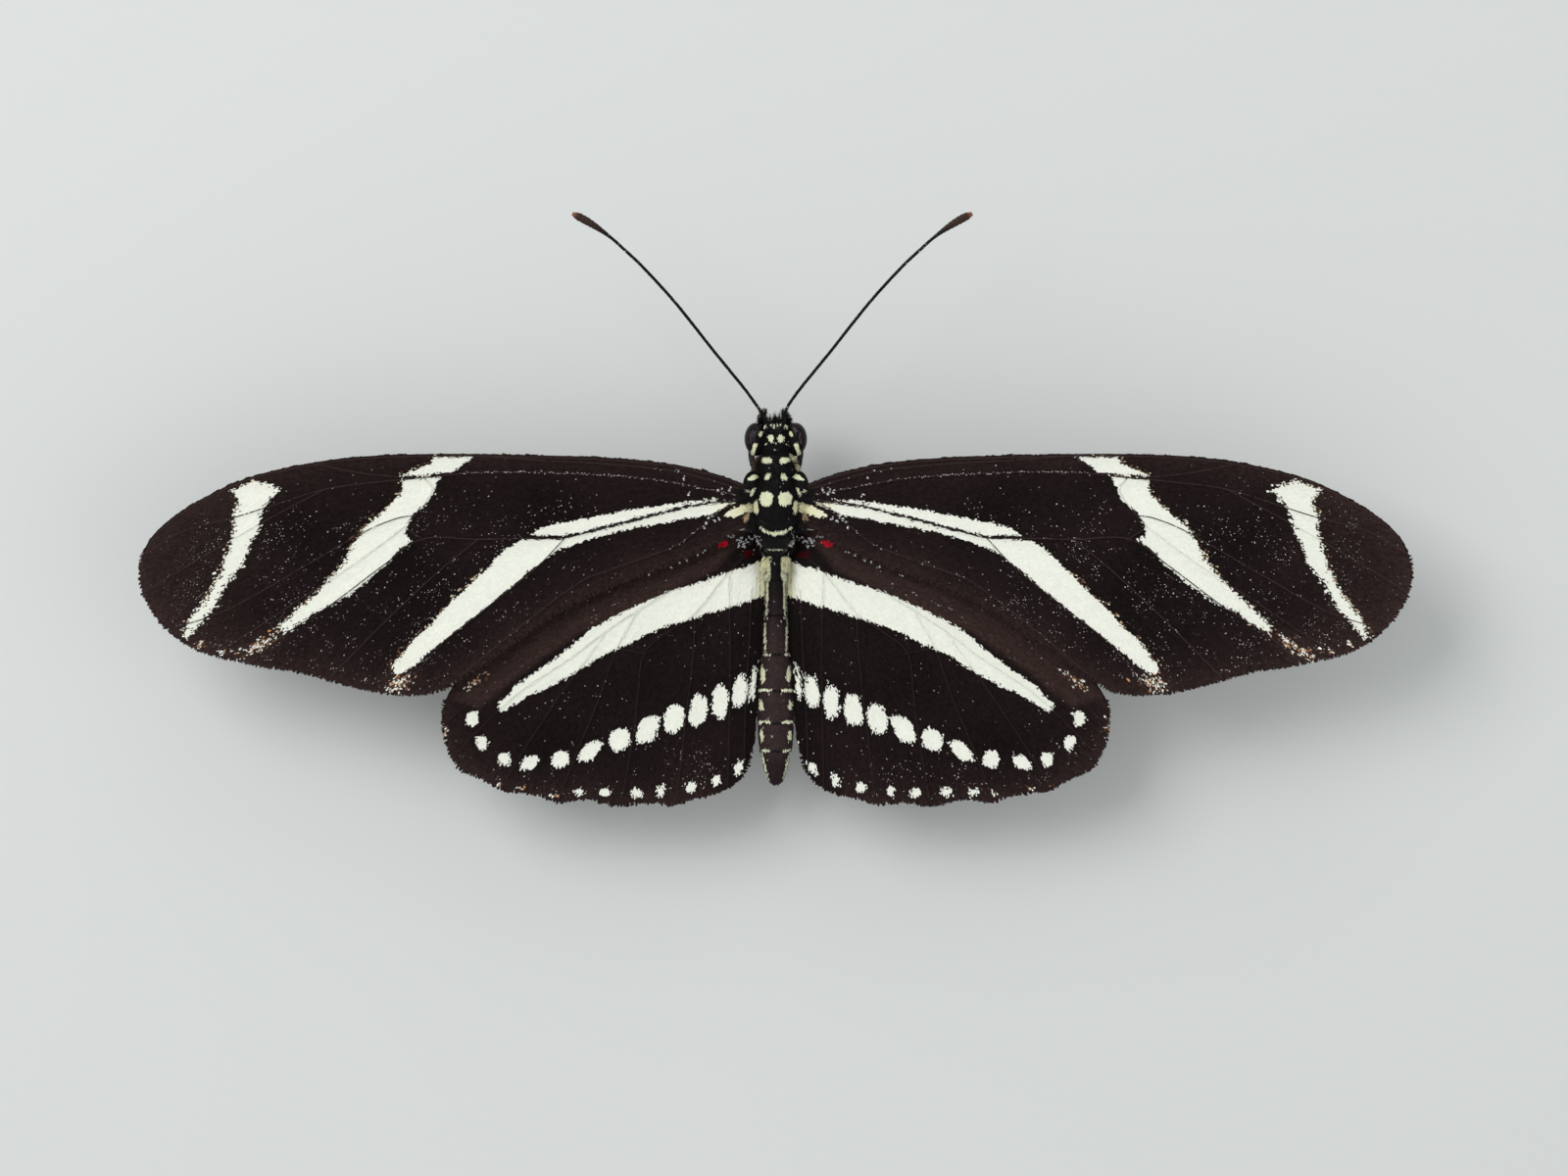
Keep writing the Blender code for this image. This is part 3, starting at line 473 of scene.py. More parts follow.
def eye_material():
    """Glossy compound eyes: nearly black with paler streaks of painted sheen, finely faceted."""
    surface = Surface("compound_eye", 0.28, 0.08)
    patches = surface.grain("Noise", "Fac", 0.4, (2.6, 0.6, 1.8), Detail=4.0, Distortion=0.8)
    share = surface.node("MapRange", "Result", {"Value": patches, "From Min": 0.44, "From Max": 0.7})
    share = surface.node("Math", "Value", {0: share, 1: surface.attribute("streak", "Fac")},
                         operation="MULTIPLY")
    surface.blended(share, (*EYE_DARK, 1.0), (*EYE_PAINTED_SHEEN, 1.0))
    surface.feed(surface.shader, {"Coat Weight": 0.03, "Coat Roughness": 0.08})
    return surface.bumped(surface.grain("Voronoi", "Distance", 0.05), 0.5, -0.008)


def new_piece(name, points, faces, places, material, slot, stands_for=(), smooth=True, **values):
    """A mesh piece in millimetres; places are for its face corners, values and colours for its points."""
    mesh = bpy.data.meshes.new(name)
    mesh.vertices.add(len(points))
    mesh.vertices.foreach_set("co", np.ascontiguousarray(points * MM, np.float32).ravel())
    mesh.loops.add(faces.size)
    mesh.loops.foreach_set("vertex_index", np.ascontiguousarray(faces, np.int32).ravel())
    mesh.polygons.add(len(faces))
    mesh.polygons.foreach_set("loop_start", np.arange(0, faces.size, 3, dtype=np.int32))
    mesh.update(calc_edges=True)
    if smooth:
        mesh.shade_smooth()
    else:
        mesh.shade_flat()
    layer = mesh.uv_layers.new(name="OFBake")
    layer.uv.foreach_set("vector", np.ascontiguousarray(places, np.float32).ravel())
    for key, value in values.items():
        if value.shape == (len(points),):
            mesh.attributes.new(key, "FLOAT", "POINT").data.foreach_set("value", value.astype(np.float32))
        else:
            colour = np.ones((len(points), 4), np.float32)
            colour[:, :3] = value
            mesh.attributes.new(key, "FLOAT_COLOR", "POINT").data.foreach_set("color", colour.ravel())
    mesh.materials.append(material)
    piece = bpy.data.objects.new(name, mesh)
    bpy.context.scene.collection.objects.link(piece)
    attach(piece, "root")
    if stands_for:
        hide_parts(*stands_for)
    return piece


def flipped(faces, places):
    """Faces that point the other way, with their map places."""
    return faces[:, ::-1], places.reshape(-1, 3, 2)[:, ::-1].reshape(-1, 2)


def placed(part, side):
    """A closed form of the right side, or its mirror image with its faces still pointing out."""
    points, faces, places = part
    return part if side > 0 else (points * [side, 1.0, 1.0], *flipped(faces, places))


def gathered(coats, side, widths):
    """The columns of all coats; single values count for all rows, and the first three are mirrored."""
    columns = []
    for column, width in enumerate(widths):
        shape = (width,) if width > 1 else ()
        parts = [np.broadcast_to(coat[column], (len(coat[0]), *shape)) for coat in coats]
        columns.append(np.concatenate(parts) * ([side, 1.0, 1.0] if column < 3 else 1.0))
    return columns


def tufts(name, points, blade, corners, tint, place, material, slot):
    """A piece of many small closed forms that share the faces of a blade, each a small patch on the map."""
    count = len(corners)
    faces = (np.arange(len(points))[:, None, None] * count + np.array(blade)[None]).reshape(-1, 3)
    spread = (place[:, None, :] + np.array(corners)[None] * UV_PATCH).reshape(-1, 2)
    return new_piece(name, points.reshape(-1, 3), faces, spread[faces.ravel()], material, slot, smooth=False,
                     tint=np.repeat(tint, count, axis=0))


def scale_coat(name, coats, material, slot, side=1.0):
    """One piece of many closed scales; each coat is (root, tip, up, width, lift, tint, place)."""
    root, tip, up, width, lift, tint, place = gathered(coats, side, (3, 3, 3, 1, 1, 3, 2))
    across = unit(np.cross(tip - root, up)) * (width / 2)[:, None]
    low = root - up * SCALE_SINK
    top = tip + up * lift[:, None]
    end = across * TIP_SHARE
    points = np.stack([low - across, low + across, top + end, top - end, top - up * SCALE_THICKNESS], axis=1)
    return tufts(name, points, SCALE_FACES, SCALE_CORNERS, tint, place, material, slot)


def hair_coat(name, coats, material, slot, side=1.0):
    """One piece of many closed, bent hairs; each coat is (root, middle, tip, width, tint, place)."""
    root, mid, tip, width, tint, place = gathered(coats, side, (3, 3, 3, 1, 3, 2))
    across = unit(np.cross(unit(tip - root), [0.12, 0.31, 0.95]))
    over = np.cross(unit(tip - root), across)
    corners = []
    for centre, share in ((root, 0.5), (mid, 0.4)):
        for turn in (90.0, 210.0, 330.0):
            arm = across * math.cos(math.radians(turn)) + over * math.sin(math.radians(turn))
            corners.append(centre + arm * width[:, None] * share)
    points = np.stack(corners + [tip], axis=1)
    return tufts(name, points, HAIR_FACES, HAIR_CORNERS, tint, place, material, slot)


def scales_along(root, heading, up, size, tint, place):
    """A coat of scales of one size, as (length, width, lift), that lie along their headings."""
    length, width, lift = size
    return root, root + heading * length, up, width, lift, tint, place


def swung(up, back, spread, rng):
    """Backward directions, each turned on the surface by a small random angle."""
    turn = rng.normal(0.0, spread, len(up))[:, None]
    return back * np.cos(turn) + np.cross(up, back) * np.sin(turn)


def bent(root, first, second, reach, share=0.5):
    """Middle and tip of hairs that set out one way and end in another."""
    mid = root + first * (reach * share)[:, None]
    return mid, mid + second * (reach * (1 - share))[:, None]


def forewing_middle(points):
    """Height of the forewing's middle surface: it rises outwards and arches."""
    out = (points[:, 0] - WING_ROOT_X) / WING_SPAN
    return FOREWING_ROOT_HEIGHT + WING_RISE * out - WING_ARCH * out ** 2 + WING_TILT * points[:, 1]


def hindwing_middle(points):
    """Height of the hindwing's middle surface: under the forewing, sagging back, folded down at the body."""
    back = np.maximum(0.0, (SAG_START - points[:, 1]) / SAG_LENGTH)
    fold = ANAL_FOLD * np.exp(-np.maximum(points[:, 0] - 1.0, 0.0) / ANAL_FOLD_WIDTH)
    return forewing_middle(points) - HINDWING_DROP - HINDWING_SAG * back ** 2 - fold


class Wing:
    """What the right and left wing of one pair share, in the right wing's plan."""

    def __init__(self, name, margin, root, veins, bands, spots, patches, beads, specks, middle):
        self.name = name
        self.beads = beads
        self.specks = specks
        self.bands = bands
        self.spots = spots
        self.patches = patches
        self.middle = middle
        margin_line = curve_through(margin, RIM_STEP)
        along = unit(np.gradient(margin_line, axis=0))
        outward = np.stack([-along[:, 1], along[:, 0]], axis=1)
        facing_front = np.clip(outward[:, 1] * 2, 0.0, 1.0)
        inset = EDGE_INSET + (COSTA_EDGE_INSET - EDGE_INSET) * facing_front
        self.rim = margin_line - outward * inset[:, None]
        self.rim_outward = outward
        self.fringed = facing_front < 0.6
        self.outline = np.vstack([self.rim, np.array(root, float)])
        lines = [(curve_through(line, CREST_STEP), ink) for line, ink in veins]
        front = facing_front > 0.7
        lines.append((self.rim[front] - outward[front] * COSTA_INSET, 1.0))
        self.lines = lines
        fine = [(curve_through(line, 0.1), ink) for line, ink in lines]
        self.samples = np.vstack([line for line, _ in fine])
        self.inks = np.concatenate([np.full(len(line), ink) for line, ink in fine])
        self.veins = np.concatenate([np.full(len(line), index) for index, (line, _) in enumerate(fine)])
        self.tangents = np.vstack([unit(np.gradient(line, axis=0)) for line, _ in fine])
        self.tree = KDTree(len(self.samples))
        for index, (x, y) in enumerate(self.samples):
            self.tree.insert((x, y, 0.0), index)
        self.tree.balance()

    def vein_reach(self, points):
        """Distance to the nearest vein of each plan point, and that vein sample's index."""
        found = [self.tree.find((x, y, 0.0))[1:] for x, y in points[:, :2]]
        return np.array([gap for _, gap in found]), np.array([index for index, _ in found])

    def surface(self, points, upper):
        """Height of the upper or lower skin at plan points."""
        gap, nearest = self.vein_reach(points)
        size = 1.0 - 0.6 * np.clip(np.linalg.norm(self.samples[nearest], axis=1) / 42.0, 0.0, 1.0)
        ridge = RIDGE_HEIGHT * size * np.exp(-(gap / (RIDGE_WIDTH * (0.4 + 0.6 * size))) ** 2)
        billow = -CELL_BILLOW * (1 - np.exp(-(gap / 0.9) ** 2)) + 0.06 * ripple(points, 5.0, 11)
        return self.middle(points) + billow + (1.0 if upper else -1.0) * (HALF_MEMBRANE + ridge)

    def lie(self, points):
        """The direction in which the scales point, blended from the veins near by."""
        coarse = self.samples[::8]
        heading = np.zeros((len(points), 2))
        for start in range(0, len(points), 4000):
            block = points[start:start + 4000]
            gap = ((block[:, None, :] - coarse[None]) ** 2).sum(axis=2)
            weight = 1.0 / (gap + 0.4) ** 2
            heading[start:start + 4000] = weight @ self.tangents[::8]
        return unit(heading)

    def marks(self, points):
        """Distance to the pale marks, below zero inside."""
        edge = np.full(len(points), FAR)
        for band in self.bands:
            edge = np.minimum(edge, signed_distance(points, band))
        for spot in self.spots:
            edge = np.minimum(edge, spot_distance(points, *spot) + SPOT_TRIM)
        return edge

    def pale(self, points, upper):
        """Colour of the pale marks: yellower near the body, with painted shade along the hindwing's fold."""
        reach = (1.0, 5.0) if self.name == "forewing" else (0.8, 1.4)
        near = 1.0 - smooth_step(points[:, 0], *reach)
        pale = mixed(PALE if upper else UNDER_PALE, PALE_WARM, near)
        if self.name == "hindwing":
            # Painted shade: brownish lines along the fold where the hindwing turns down beside the body.
            fold_shade = 0.5 * bell(points[:, 0], 1.02, 0.06) + 0.25 * bell(points[:, 0], 1.3, 0.05)
            pale = mixed(pale, FOLD_PAINTED_SHADE, fold_shade)
        return pale

    def ground(self, points, upper):
        """Colour of the dark ground: browner towards the tip, the margins and the hindwing's front."""
        rim_gap = -signed_distance(points, self.outline[::3])
        # The browning is partly the scales' own colour and partly painted sheen.
        brown = 0.75 * np.exp(-rim_gap / 1.1) + 0.1
        if self.name == "forewing":
            brown = brown + 0.45 * smooth_step(points[:, 0], 30.0, 38.0) + 0.1 * ripple(points, 4.0, 5)
            for x, y, half_width, half_length, slope, _ in self.patches[:2]:
                brown = brown + patch_share(points, x, y, 1.4 * half_width, 2.2 * half_length, slope, 0.9)
        else:
            brown = brown * smooth_step(points[:, 0], 1.0, 6.0) + 0.1 * ripple(points, 4.0, 6)
        if not upper:
            return mixed(UNDER_GROUND, GROUND_BROWN, np.clip(brown, 0.0, 1.0))
        ground = mixed(GROUND, GROUND_BROWN, np.clip(brown, 0.0, 1.5))
        # The hindwing's front is browner: partly its own brown and partly painted sheen.
        if self.name == "hindwing":
            shine = signed_distance(points, self.costal_zone())
            ground = mixed(ground, COSTAL_BROWN_AND_SHEEN, 1 - smooth_step(shine, -0.2, 0.35))
        return ground

    def costal_zone(self):
        """The hindwing's brown front with painted sheen, from its margin to a little behind the first vein.
        """
        front = [(x, y) for x, y in HINDWING_MARGIN[:7]]
        back = [(x + 0.2, y - 0.95) for x, y in reversed(HINDWING_VEINS[0][0][1:-1])]
        return front + back


def wing_places(wing):
    """Scale and offsets that lay the wing's upper and lower map one above the other."""
    low = wing.outline.min(axis=0) - 0.4
    size = wing.outline.max(axis=0) + 0.4 - low
    return low, (1 - 2 * UV_EDGE) / max(size[0], 2 * size[1]), size


def build_wing_skin(wing, name, side, material):
    """The membrane with its veins: two sheets of the same triangles, joined by a rim."""
    inner = []
    edges = []
    points = [wing.outline]
    count = len(wing.outline)
    for line, _ in wing.lines:
        keep = line[signed_distance(line, wing.outline) < -0.05]
        edges += [(count + k, count + k + 1) for k in range(len(keep) - 1)]
        points.append(keep)
        count += len(keep)
        away = np.stack([-np.gradient(keep[:, 1]), np.gradient(keep[:, 0])], axis=1)
        inner += [keep + unit(away) * offset for offset in (-RIDGE_WIDTH, RIDGE_WIDTH)]
    grid = triangle_grid(wing.outline.min(axis=0), wing.outline.max(axis=0), SKIN_GRID)
    for extra, clearance in ((np.vstack(inner), RIDGE_WIDTH * 0.8), (grid, RIDGE_WIDTH * 1.8)):
        extra = extra[signed_distance(extra, wing.outline) < -0.1]
        points.append(extra[wing.vein_reach(extra)[0] > clearance])
    ring = list(range(len(wing.outline)))
    found = delaunay_2d_cdt([Vector(p) for p in np.vstack(points)], edges, [ring], 1, 1e-5)
    plan = np.array([tuple(p) for p in found[0]])
    sheet = np.array([f for f in found[2] if len(f) == 3])
    where = {origin: k for k, origins in enumerate(found[3]) for origin in origins}
    ring = np.array([where[k] for k in ring])
    following = np.roll(ring, -1)
    total = len(plan)
    a, b = plan[sheet[:, 1]] - plan[sheet[:, 0]], plan[sheet[:, 2]] - plan[sheet[:, 0]]
    turned = a[:, 0] * b[:, 1] - a[:, 1] * b[:, 0] < 0
    sheet[turned] = sheet[turned][:, ::-1]
    walls = np.concatenate([np.stack([ring, ring + total, following + total], axis=1),
                            np.stack([ring, following + total, following], axis=1)])
    if np.sum(plan[ring, 0] * plan[following, 1] - plan[ring, 1] * plan[following, 0]) < 0:
        walls = walls[:, ::-1]
    faces = np.concatenate([sheet, sheet[:, ::-1] + total, walls])
    low, scale, size = wing_places(wing)
    place = (plan - low) * scale + UV_EDGE
    places = np.concatenate([place[sheet].reshape(-1, 2),
                             (place + [0.0, size[1] * scale])[sheet[:, ::-1]].reshape(-1, 2),
                             place[walls % total].reshape(-1, 2)])
    points = np.vstack([np.column_stack([plan, wing.surface(plan, upper)]) for upper in (True, False)])
    new_piece(name + "_skin", *placed((points, faces, places), side), material, "wing", (name,),
              edge=np.tile(wing.marks(plan), 2),
              ground=np.vstack([wing.ground(plan, upper) for upper in (True, False)]),
              pale=np.vstack([wing.pale(plan, upper) for upper in (True, False)]))


def scattered(wing, spacing, rng):
    """Plan points of a shaken triangular grid over a wing."""
    grid = triangle_grid(wing.outline.min(axis=0), wing.outline.max(axis=0), spacing)
    return grid + rng.uniform(-0.22, 0.22, grid.shape) * spacing


def wing_tints(wing, points, upper, rng):
    """A colour for each scale: pale or dark by the marks, ragged at their edges, with loose patches."""
    count = len(points)
    wobble = 0.05 * ripple(points, 0.9, 21)
    raggedness = np.full(count, 0.045 if wing.name == "forewing" else 0.06)
    if wing.name == "forewing":
        outer = smooth_step(points[:, 0], 20.0, 34.0)
        raggedness = raggedness + 0.07 * outer
    edge = wing.marks(points) + wobble + rng.normal(0.0, 1.0, count) * raggedness
    pale = edge < 0
    tint = np.where(pale[:, None], wing.pale(points, upper), wing.ground(points, upper))
    if wing.name == "forewing":
        halo = (~pale) & (edge < HALO_REACH) & (points[:, 0] > HALO_START)
        halo &= rng.random(count) < 0.45 * np.exp(-edge / 0.25)
        halo[halo] = wing.marks(points[halo] + HALO_SIDE) < 0.02
        tint[halo] = HALO_BROWN
        tint[halo & (rng.random(count) < 0.4)] = HALO_CREAM
    share = np.zeros(count)
    for patch in wing.patches:
        share = np.maximum(share, patch_share(points, *patch))
    loose = (~pale) & (rng.random(count) < share)
    kind = rng.random(count)
    tint[loose & (kind < 0.55)] = ORANGE
    tint[loose & (kind < 0.25)] = HALO_BROWN
    tint[loose & (kind >= 0.5)] = PALE * 0.9
    if wing.name == "hindwing" or not upper:
        for spot, ragged, share in RED_SPOTS[upper]:
            tint[spot_distance(points, *spot) < rng.normal(0.0, ragged, count)] = CRIMSON * share
    shade = rng.uniform(0.95, 1.04, count)
    shade[~pale] = rng.uniform(0.7, 1.35, np.count_nonzero(~pale))
    return tint * shade[:, None]


class WingCoat:
    """The scales on one face of a wing, laid coat by coat."""

    def __init__(self, wing, upper, seed):
        self.wing = wing
        self.upper = upper
        self.seed = seed
        self.rng = np.random.default_rng(seed)
        self.coats = []

    def lay(self, root, heading, length, width, lift, tint):
        """Adds scales from plan roots, plan headings and sizes."""
        tip = root + heading * np.broadcast_to(length, len(root))[:, None]
        base, end = (np.column_stack([plan, self.wing.surface(plan, self.upper)]) for plan in (root, tip))
        self.add(root, base, end, [0.0, 0.0, 1.0 if self.upper else -1.0], width, lift, tint)

    def add(self, root, base, end, up, width, lift, tint):
        """Adds scales whose ends are known in space."""
        low, scale, _ = wing_places(self.wing)
        self.coats.append((base, end, up, width, lift, tint, (root - low) * scale + UV_EDGE))

    def turned(self, heading, spread):
        """The headings, each turned by a small random angle."""
        angle = self.rng.normal(0.0, spread, len(heading))
        cos, sin = np.cos(angle), np.sin(angle)
        x, y = heading.T
        return np.stack([x * cos - y * sin, x * sin + y * cos], axis=1)

    def cover(self, spacing, fine):
        """The scales that cover the face: fine ones along the marks' edges and the loose patches."""
        wing, rng = self.wing, self.rng
        size = spacing / SCALE_SPACING
        root = scattered(wing, spacing, rng)
        root = root[signed_distance(root, wing.outline) < -0.03]
        if self.upper:
            near = np.abs(wing.marks(root) + 0.1) < EDGE_ZONE
            for patch in wing.patches:
                near |= patch_share(root, *patch) > 0.06
            root = root[near == fine]
        root = root[wing.vein_reach(root)[0] > VEIN_CLEARANCE]
        count = len(root)
        heading = self.turned(wing.lie(root), 0.12)
        length = SCALE_LENGTH * size * rng.uniform(0.85, 1.15, count)
        self.lay(root, heading, length, SCALE_WIDTH * size * rng.uniform(0.85, 1.15, count),
                 SCALE_LIFT * rng.uniform(0.7, 1.3, count),
                 wing_tints(wing, root + heading * (length * 0.65)[:, None], self.upper, rng))

    def flecks(self, root, spread, bright=None):
        """Small loose scales that stand up a little, brown to white by their brightness or at random."""
        count = len(root)
        heading = self.turned(self.wing.lie(root), spread)
        length = self.rng.uniform(*FLECK_LENGTH, count)
        width = self.rng.uniform(*FLECK_WIDTH, count)
        if bright is None:
            bright = self.rng.uniform(0.5, 1.0, count)
        self.lay(root, heading, length, width, FLECK_LIFT, mixed(GROUND_BROWN, FLECK, bright))

    def veins(self):
        """The scales along the veins, and on the upper face the white ones strung along some."""
        wing, rng = self.wing, self.rng
        keep = signed_distance(wing.samples, wing.outline) < -0.02
        crest = wing.samples[keep]
        edge = wing.marks(crest)
        inks = wing.inks[keep] * (1.0 if self.upper else 0.6)
        on_pale = mixed(wing.pale(crest, self.upper), VEIN_ON_PALE, inks)
        shown = np.full(len(crest), 0.8 if wing.name == "forewing" else 0.4)
        on_dark = mixed(wing.ground(crest, self.upper), VEIN_ON_DARK, shown)
        tint = shaded(np.where((edge < 0)[:, None], on_pale, on_dark), 0.85, 1.15, len(crest), rng)
        length, width, lift = CREST_SCALE
        self.lay(crest, wing.tangents[keep], length, width, lift, tint)
        if self.upper:
            share = np.zeros(len(crest))
            for vein, start, stop, thickly in wing.beads:
                share[(wing.veins[keep] == vein) & (crest[:, 0] > start) & (crest[:, 0] < stop)] = thickly
            beads = crest[(edge > 0.05) & (rng.random(len(crest)) < share)]
            self.flecks(beads + rng.normal(0.0, 0.03, beads.shape), 0.4)

    def loose(self):
        """White specks near the root, and pale scales strewn over the dark ground."""
        wing, rng = self.wing, self.rng
        specks = np.repeat(np.array(wing.specks), SCALES_PER_SPECK, axis=0)
        specks = specks + rng.normal(0.0, SPECK_SPREAD, specks.shape)
        count = len(specks)
        self.lay(specks, self.turned(wing.lie(specks), 0.6), rng.uniform(0.11, 0.18, count),
                 rng.uniform(0.08, 0.12, count), 0.06, shaded(SPECK_WHITE, 0.75, 1.0, count, rng))
        root = scattered(wing, FLECK_GRID, rng)
        root = root[signed_distance(root, wing.outline) < -0.3]
        crowd = 0.5 + 0.35 * ripple(root, 3.0, self.seed) + 0.35 * ripple(root, 0.8, self.seed + 1)
        dimmed = 0.0
        if wing.name == "forewing":
            crowd *= smooth_step(root[:, 0], 5.0, 15.0) * (0.25 + 0.75 * smooth_step(-root[:, 1], -2.0, 1.5))
            dimmed = 0.6
        else:
            crowd *= 0.3 + 0.5 * smooth_step(-root[:, 1], 14.0, 17.0)
        root = root[(rng.random(len(root)) < 0.5 * np.maximum(crowd, 0.0) ** 1.6) & (wing.marks(root) > 0.1)]
        bright = rng.uniform(0.25, 1.0, len(root)) ** 2.1
        self.flecks(root, 0.5, bright * (1.0 - dimmed * smooth_step(root[:, 0], 36.0, 38.5)))

    def fringe(self):
        """Rows of narrow scales that stand out from the margin."""
        wing, rng = self.wing, self.rng
        heading = wing.rim_outward[wing.fringed]
        start = wing.rim[wing.fringed]
        for _ in range(FRINGE_ROWS):
            root = start + rng.uniform(-0.08, 0.08, start.shape) - heading * 0.05
            reach = FRINGE_LENGTH * rng.uniform(0.88, 1.08, len(root))
            tint = shaded(wing.ground(root, self.upper), 0.7, 1.5, len(root), rng)
            self.lay(root, self.turned(heading, 0.2), reach, FRINGE_WIDTH, 0.02, tint)

    def front(self):
        """Rows of scales that close the wing's thin front edge."""
        wing, rng = self.wing, self.rng
        start = wing.rim[~wing.fringed]
        heading = unit(np.gradient(start, axis=0))
        outward = np.column_stack([wing.rim_outward[~wing.fringed], np.zeros(len(start))])
        for share in FRONT_ROWS:
            root = start + heading * rng.uniform(-0.12, 0.12, len(start))[:, None]
            base, end = (np.column_stack([plan, (1 - share) * wing.surface(plan, False)
                                          + share * wing.surface(plan, True)])
                         for plan in (root, root + heading * FRONT_SCALE_LENGTH))
            tint = shaded(wing.ground(root, True), 0.6, 1.1, len(root), rng)
            self.add(root, base, end, outward, FRONT_SCALE_WIDTH, 0.02, tint)


def build_wings():
    """Both pairs of wings, each with its skin and the scales on both faces."""
    wings = [Wing("forewing", FOREWING_MARGIN, FOREWING_ROOT, FOREWING_VEINS, FOREWING_BANDS, [],
                  FOREWING_PATCHES, FOREWING_BEADS, FOREWING_SPECKS, forewing_middle),
             Wing("hindwing", HINDWING_MARGIN, HINDWING_ROOT, HINDWING_VEINS, HINDWING_BANDS, HINDWING_SPOTS,
                  HINDWING_PATCHES, HINDWING_BEADS, HINDWING_SPECKS, hindwing_middle)]
    skin = marked_material("wing_membrane", 0.6, 0.05)
    scales = coat_material("wing_scales", 0.6, 0.04, 0.0)
    seed = SEEDS["wings"]
    for wing in wings:
        for label, side in SIDES.items():
            name = wing.name + "_" + label
            build_wing_skin(wing, name, side, skin)
            for upper in (True, False):
                seed += 10
                coat = WingCoat(wing, upper, seed)
                coat.cover(SCALE_GRID[upper], False)
                if upper:
                    coat.cover(EDGE_GRID, True)
                coat.veins()
                if upper:
                    coat.loose()
                coat.fringe()
                if upper:
                    coat.front()
                face = "_upper_scales" if upper else "_under_scales"
                scale_coat(name + face, coat.coats, scales, "wing", side)


# The body's skin as (y, half width, height above, height below, middle height, roundness of the section).
BODY_PROFILE = [
    (5.62, 0.4, 0.34, 0.36, 7.05, 2.3), (5.4, 0.8, 0.74, 0.78, 7.1, 2.3), (5.05, 1.0, 1.0, 1.0, 7.15, 2.2),
    (4.6, 1.08, 1.12, 1.08, 7.15, 2.2), (4.0, 1.06, 1.06, 1.0, 7.15, 2.2), (3.6, 0.98, 0.88, 0.84, 7.1, 2.3),
    (3.3, 1.12, 0.9, 0.88, 7.1, 2.4), (2.9, 1.3, 1.16, 1.16, 7.1, 2.5), (2.45, 1.4, 1.4, 1.42, 7.08, 2.6),
    (2.15, 1.38, 1.38, 1.45, 7.05, 2.6), (1.9, 1.44, 1.6, 1.68, 7.03, 2.6),
    (1.3, 1.58, 1.92, 1.95, 7.0, 2.6), (0.3, 1.64, 2.1, 2.1, 7.0, 2.6), (-0.7, 1.56, 2.0, 2.05, 7.0, 2.6),
    (-1.7, 1.38, 1.6, 1.82, 7.0, 2.5), (-1.9, 1.3, 1.34, 1.7, 6.95, 2.4),
    (-2.4, 1.1, 1.1, 1.45, 6.88, 2.3), (-2.7, 0.88, 0.92, 1.0, 6.82, 2.2),
    (-3.0, 0.76, 0.8, 0.86, 6.75, 2.1), (-4.0, 0.66, 0.8, 0.85, 6.6, 2.1),
    (-5.6, 0.63, 0.84, 0.88, 6.45, 2.1), (-8.0, 0.77, 0.93, 0.95, 6.25, 2.1),
    (-10.5, 1.0, 1.02, 1.05, 6.05, 2.0), (-13.0, 1.19, 1.07, 1.1, 5.85, 2.0),
    (-15.2, 1.1, 0.97, 1.0, 5.7, 2.0), (-16.6, 0.84, 0.77, 0.8, 5.58, 2.0),
    (-17.6, 0.52, 0.5, 0.52, 5.5, 2.0), (-18.0, 0.22, 0.2, 0.2, 5.45, 2.0)]
SEGMENT_ENDS = (-4.6, -6.9, -9.45, -11.85, -13.95, -15.8)
SEGMENT_STEP = 0.06
HEAD_MIDDLE = 7.1

# The skins' rows and sides, the body's ends and its part of the map, and how deep the hairs are rooted.
BODY_ROW = 0.08
BODY_SIDES = 96
BODY_TIP = 0.06
BODY_NOSE = 5.7
BODY_LENGTH = 23.9
BODY_MAP_HEIGHT = 0.6
TUBE_SIDES = 20
HAIR_SINK = 0.03

# The right eye, the way its glossy half looks, and the pale streak of painted sheen on it as seen from above.
EYE_MIDDLE = np.array([1.30, 4.60, 7.12])
EYE_RADII = np.array([0.75, 1.06, 0.98])
EYE_FACING = np.array([0.93, 0.36, 0.0])
CHEEK_RIM = 0.03
EYE_ARC = [(1.0, 5.35), (1.3, 5.15), (1.52, 4.8), (1.58, 4.4)]
EYE_DARK = linear(8, 5, 6)
EYE_PAINTED_SHEEN = linear(118, 98, 106)

# Pale spots of head, thorax and abdomen on the right half, seen from above, as on the wings.
BODY_SPOTS = [
    (0.12, 5.38, 0.07, 0.12, 0.0), (0.43, 5.38, 0.16, 0.15, 0.0), (0.76, 5.36, 0.1, 0.15, -0.04),
    (0.31, 4.61, 0.19, 0.25, 0.02), (0.64, 4.24, 0.05, 0.06, -0.1), (0.0, 4.3, 0.03, 0.08, 0.0),
    (0.08, 3.86, 0.03, 0.05, 0.03),
    (0.57, 3.17, 0.33, 0.22, 0.04), (0.54, 2.1, 0.19, 0.25, -0.1), (0.61, 0.65, 0.43, 0.46, 0.0),
    (1.27, 0.12, 0.16, 0.42, 0.02), (0.54, -5.6, 0.06, 1.3, -0.03), (0.61, -6.93, 0.06, 0.05, 0.0),
    (0.69, -8.35, 0.066, 0.85, 0.02), (0.64, -9.52, 0.2, 0.06, 0.0), (0.83, -10.8, 0.14, 0.5, 0.03),
    (0.93, -12.82, 0.13, 0.32, 0.03), (0.9, -14.82, 0.12, 0.38, 0.03), (0.73, -16.65, 0.06, 0.8, 0.2),
    (0.74, -11.84, 0.39, 0.085, 0.0), (0.74, -13.9, 0.39, 0.085, 0.0), (0.66, -15.77, 0.26, 0.08, 0.0),
    (0.25, -2.66, 0.32, 0.06, 0.0)]
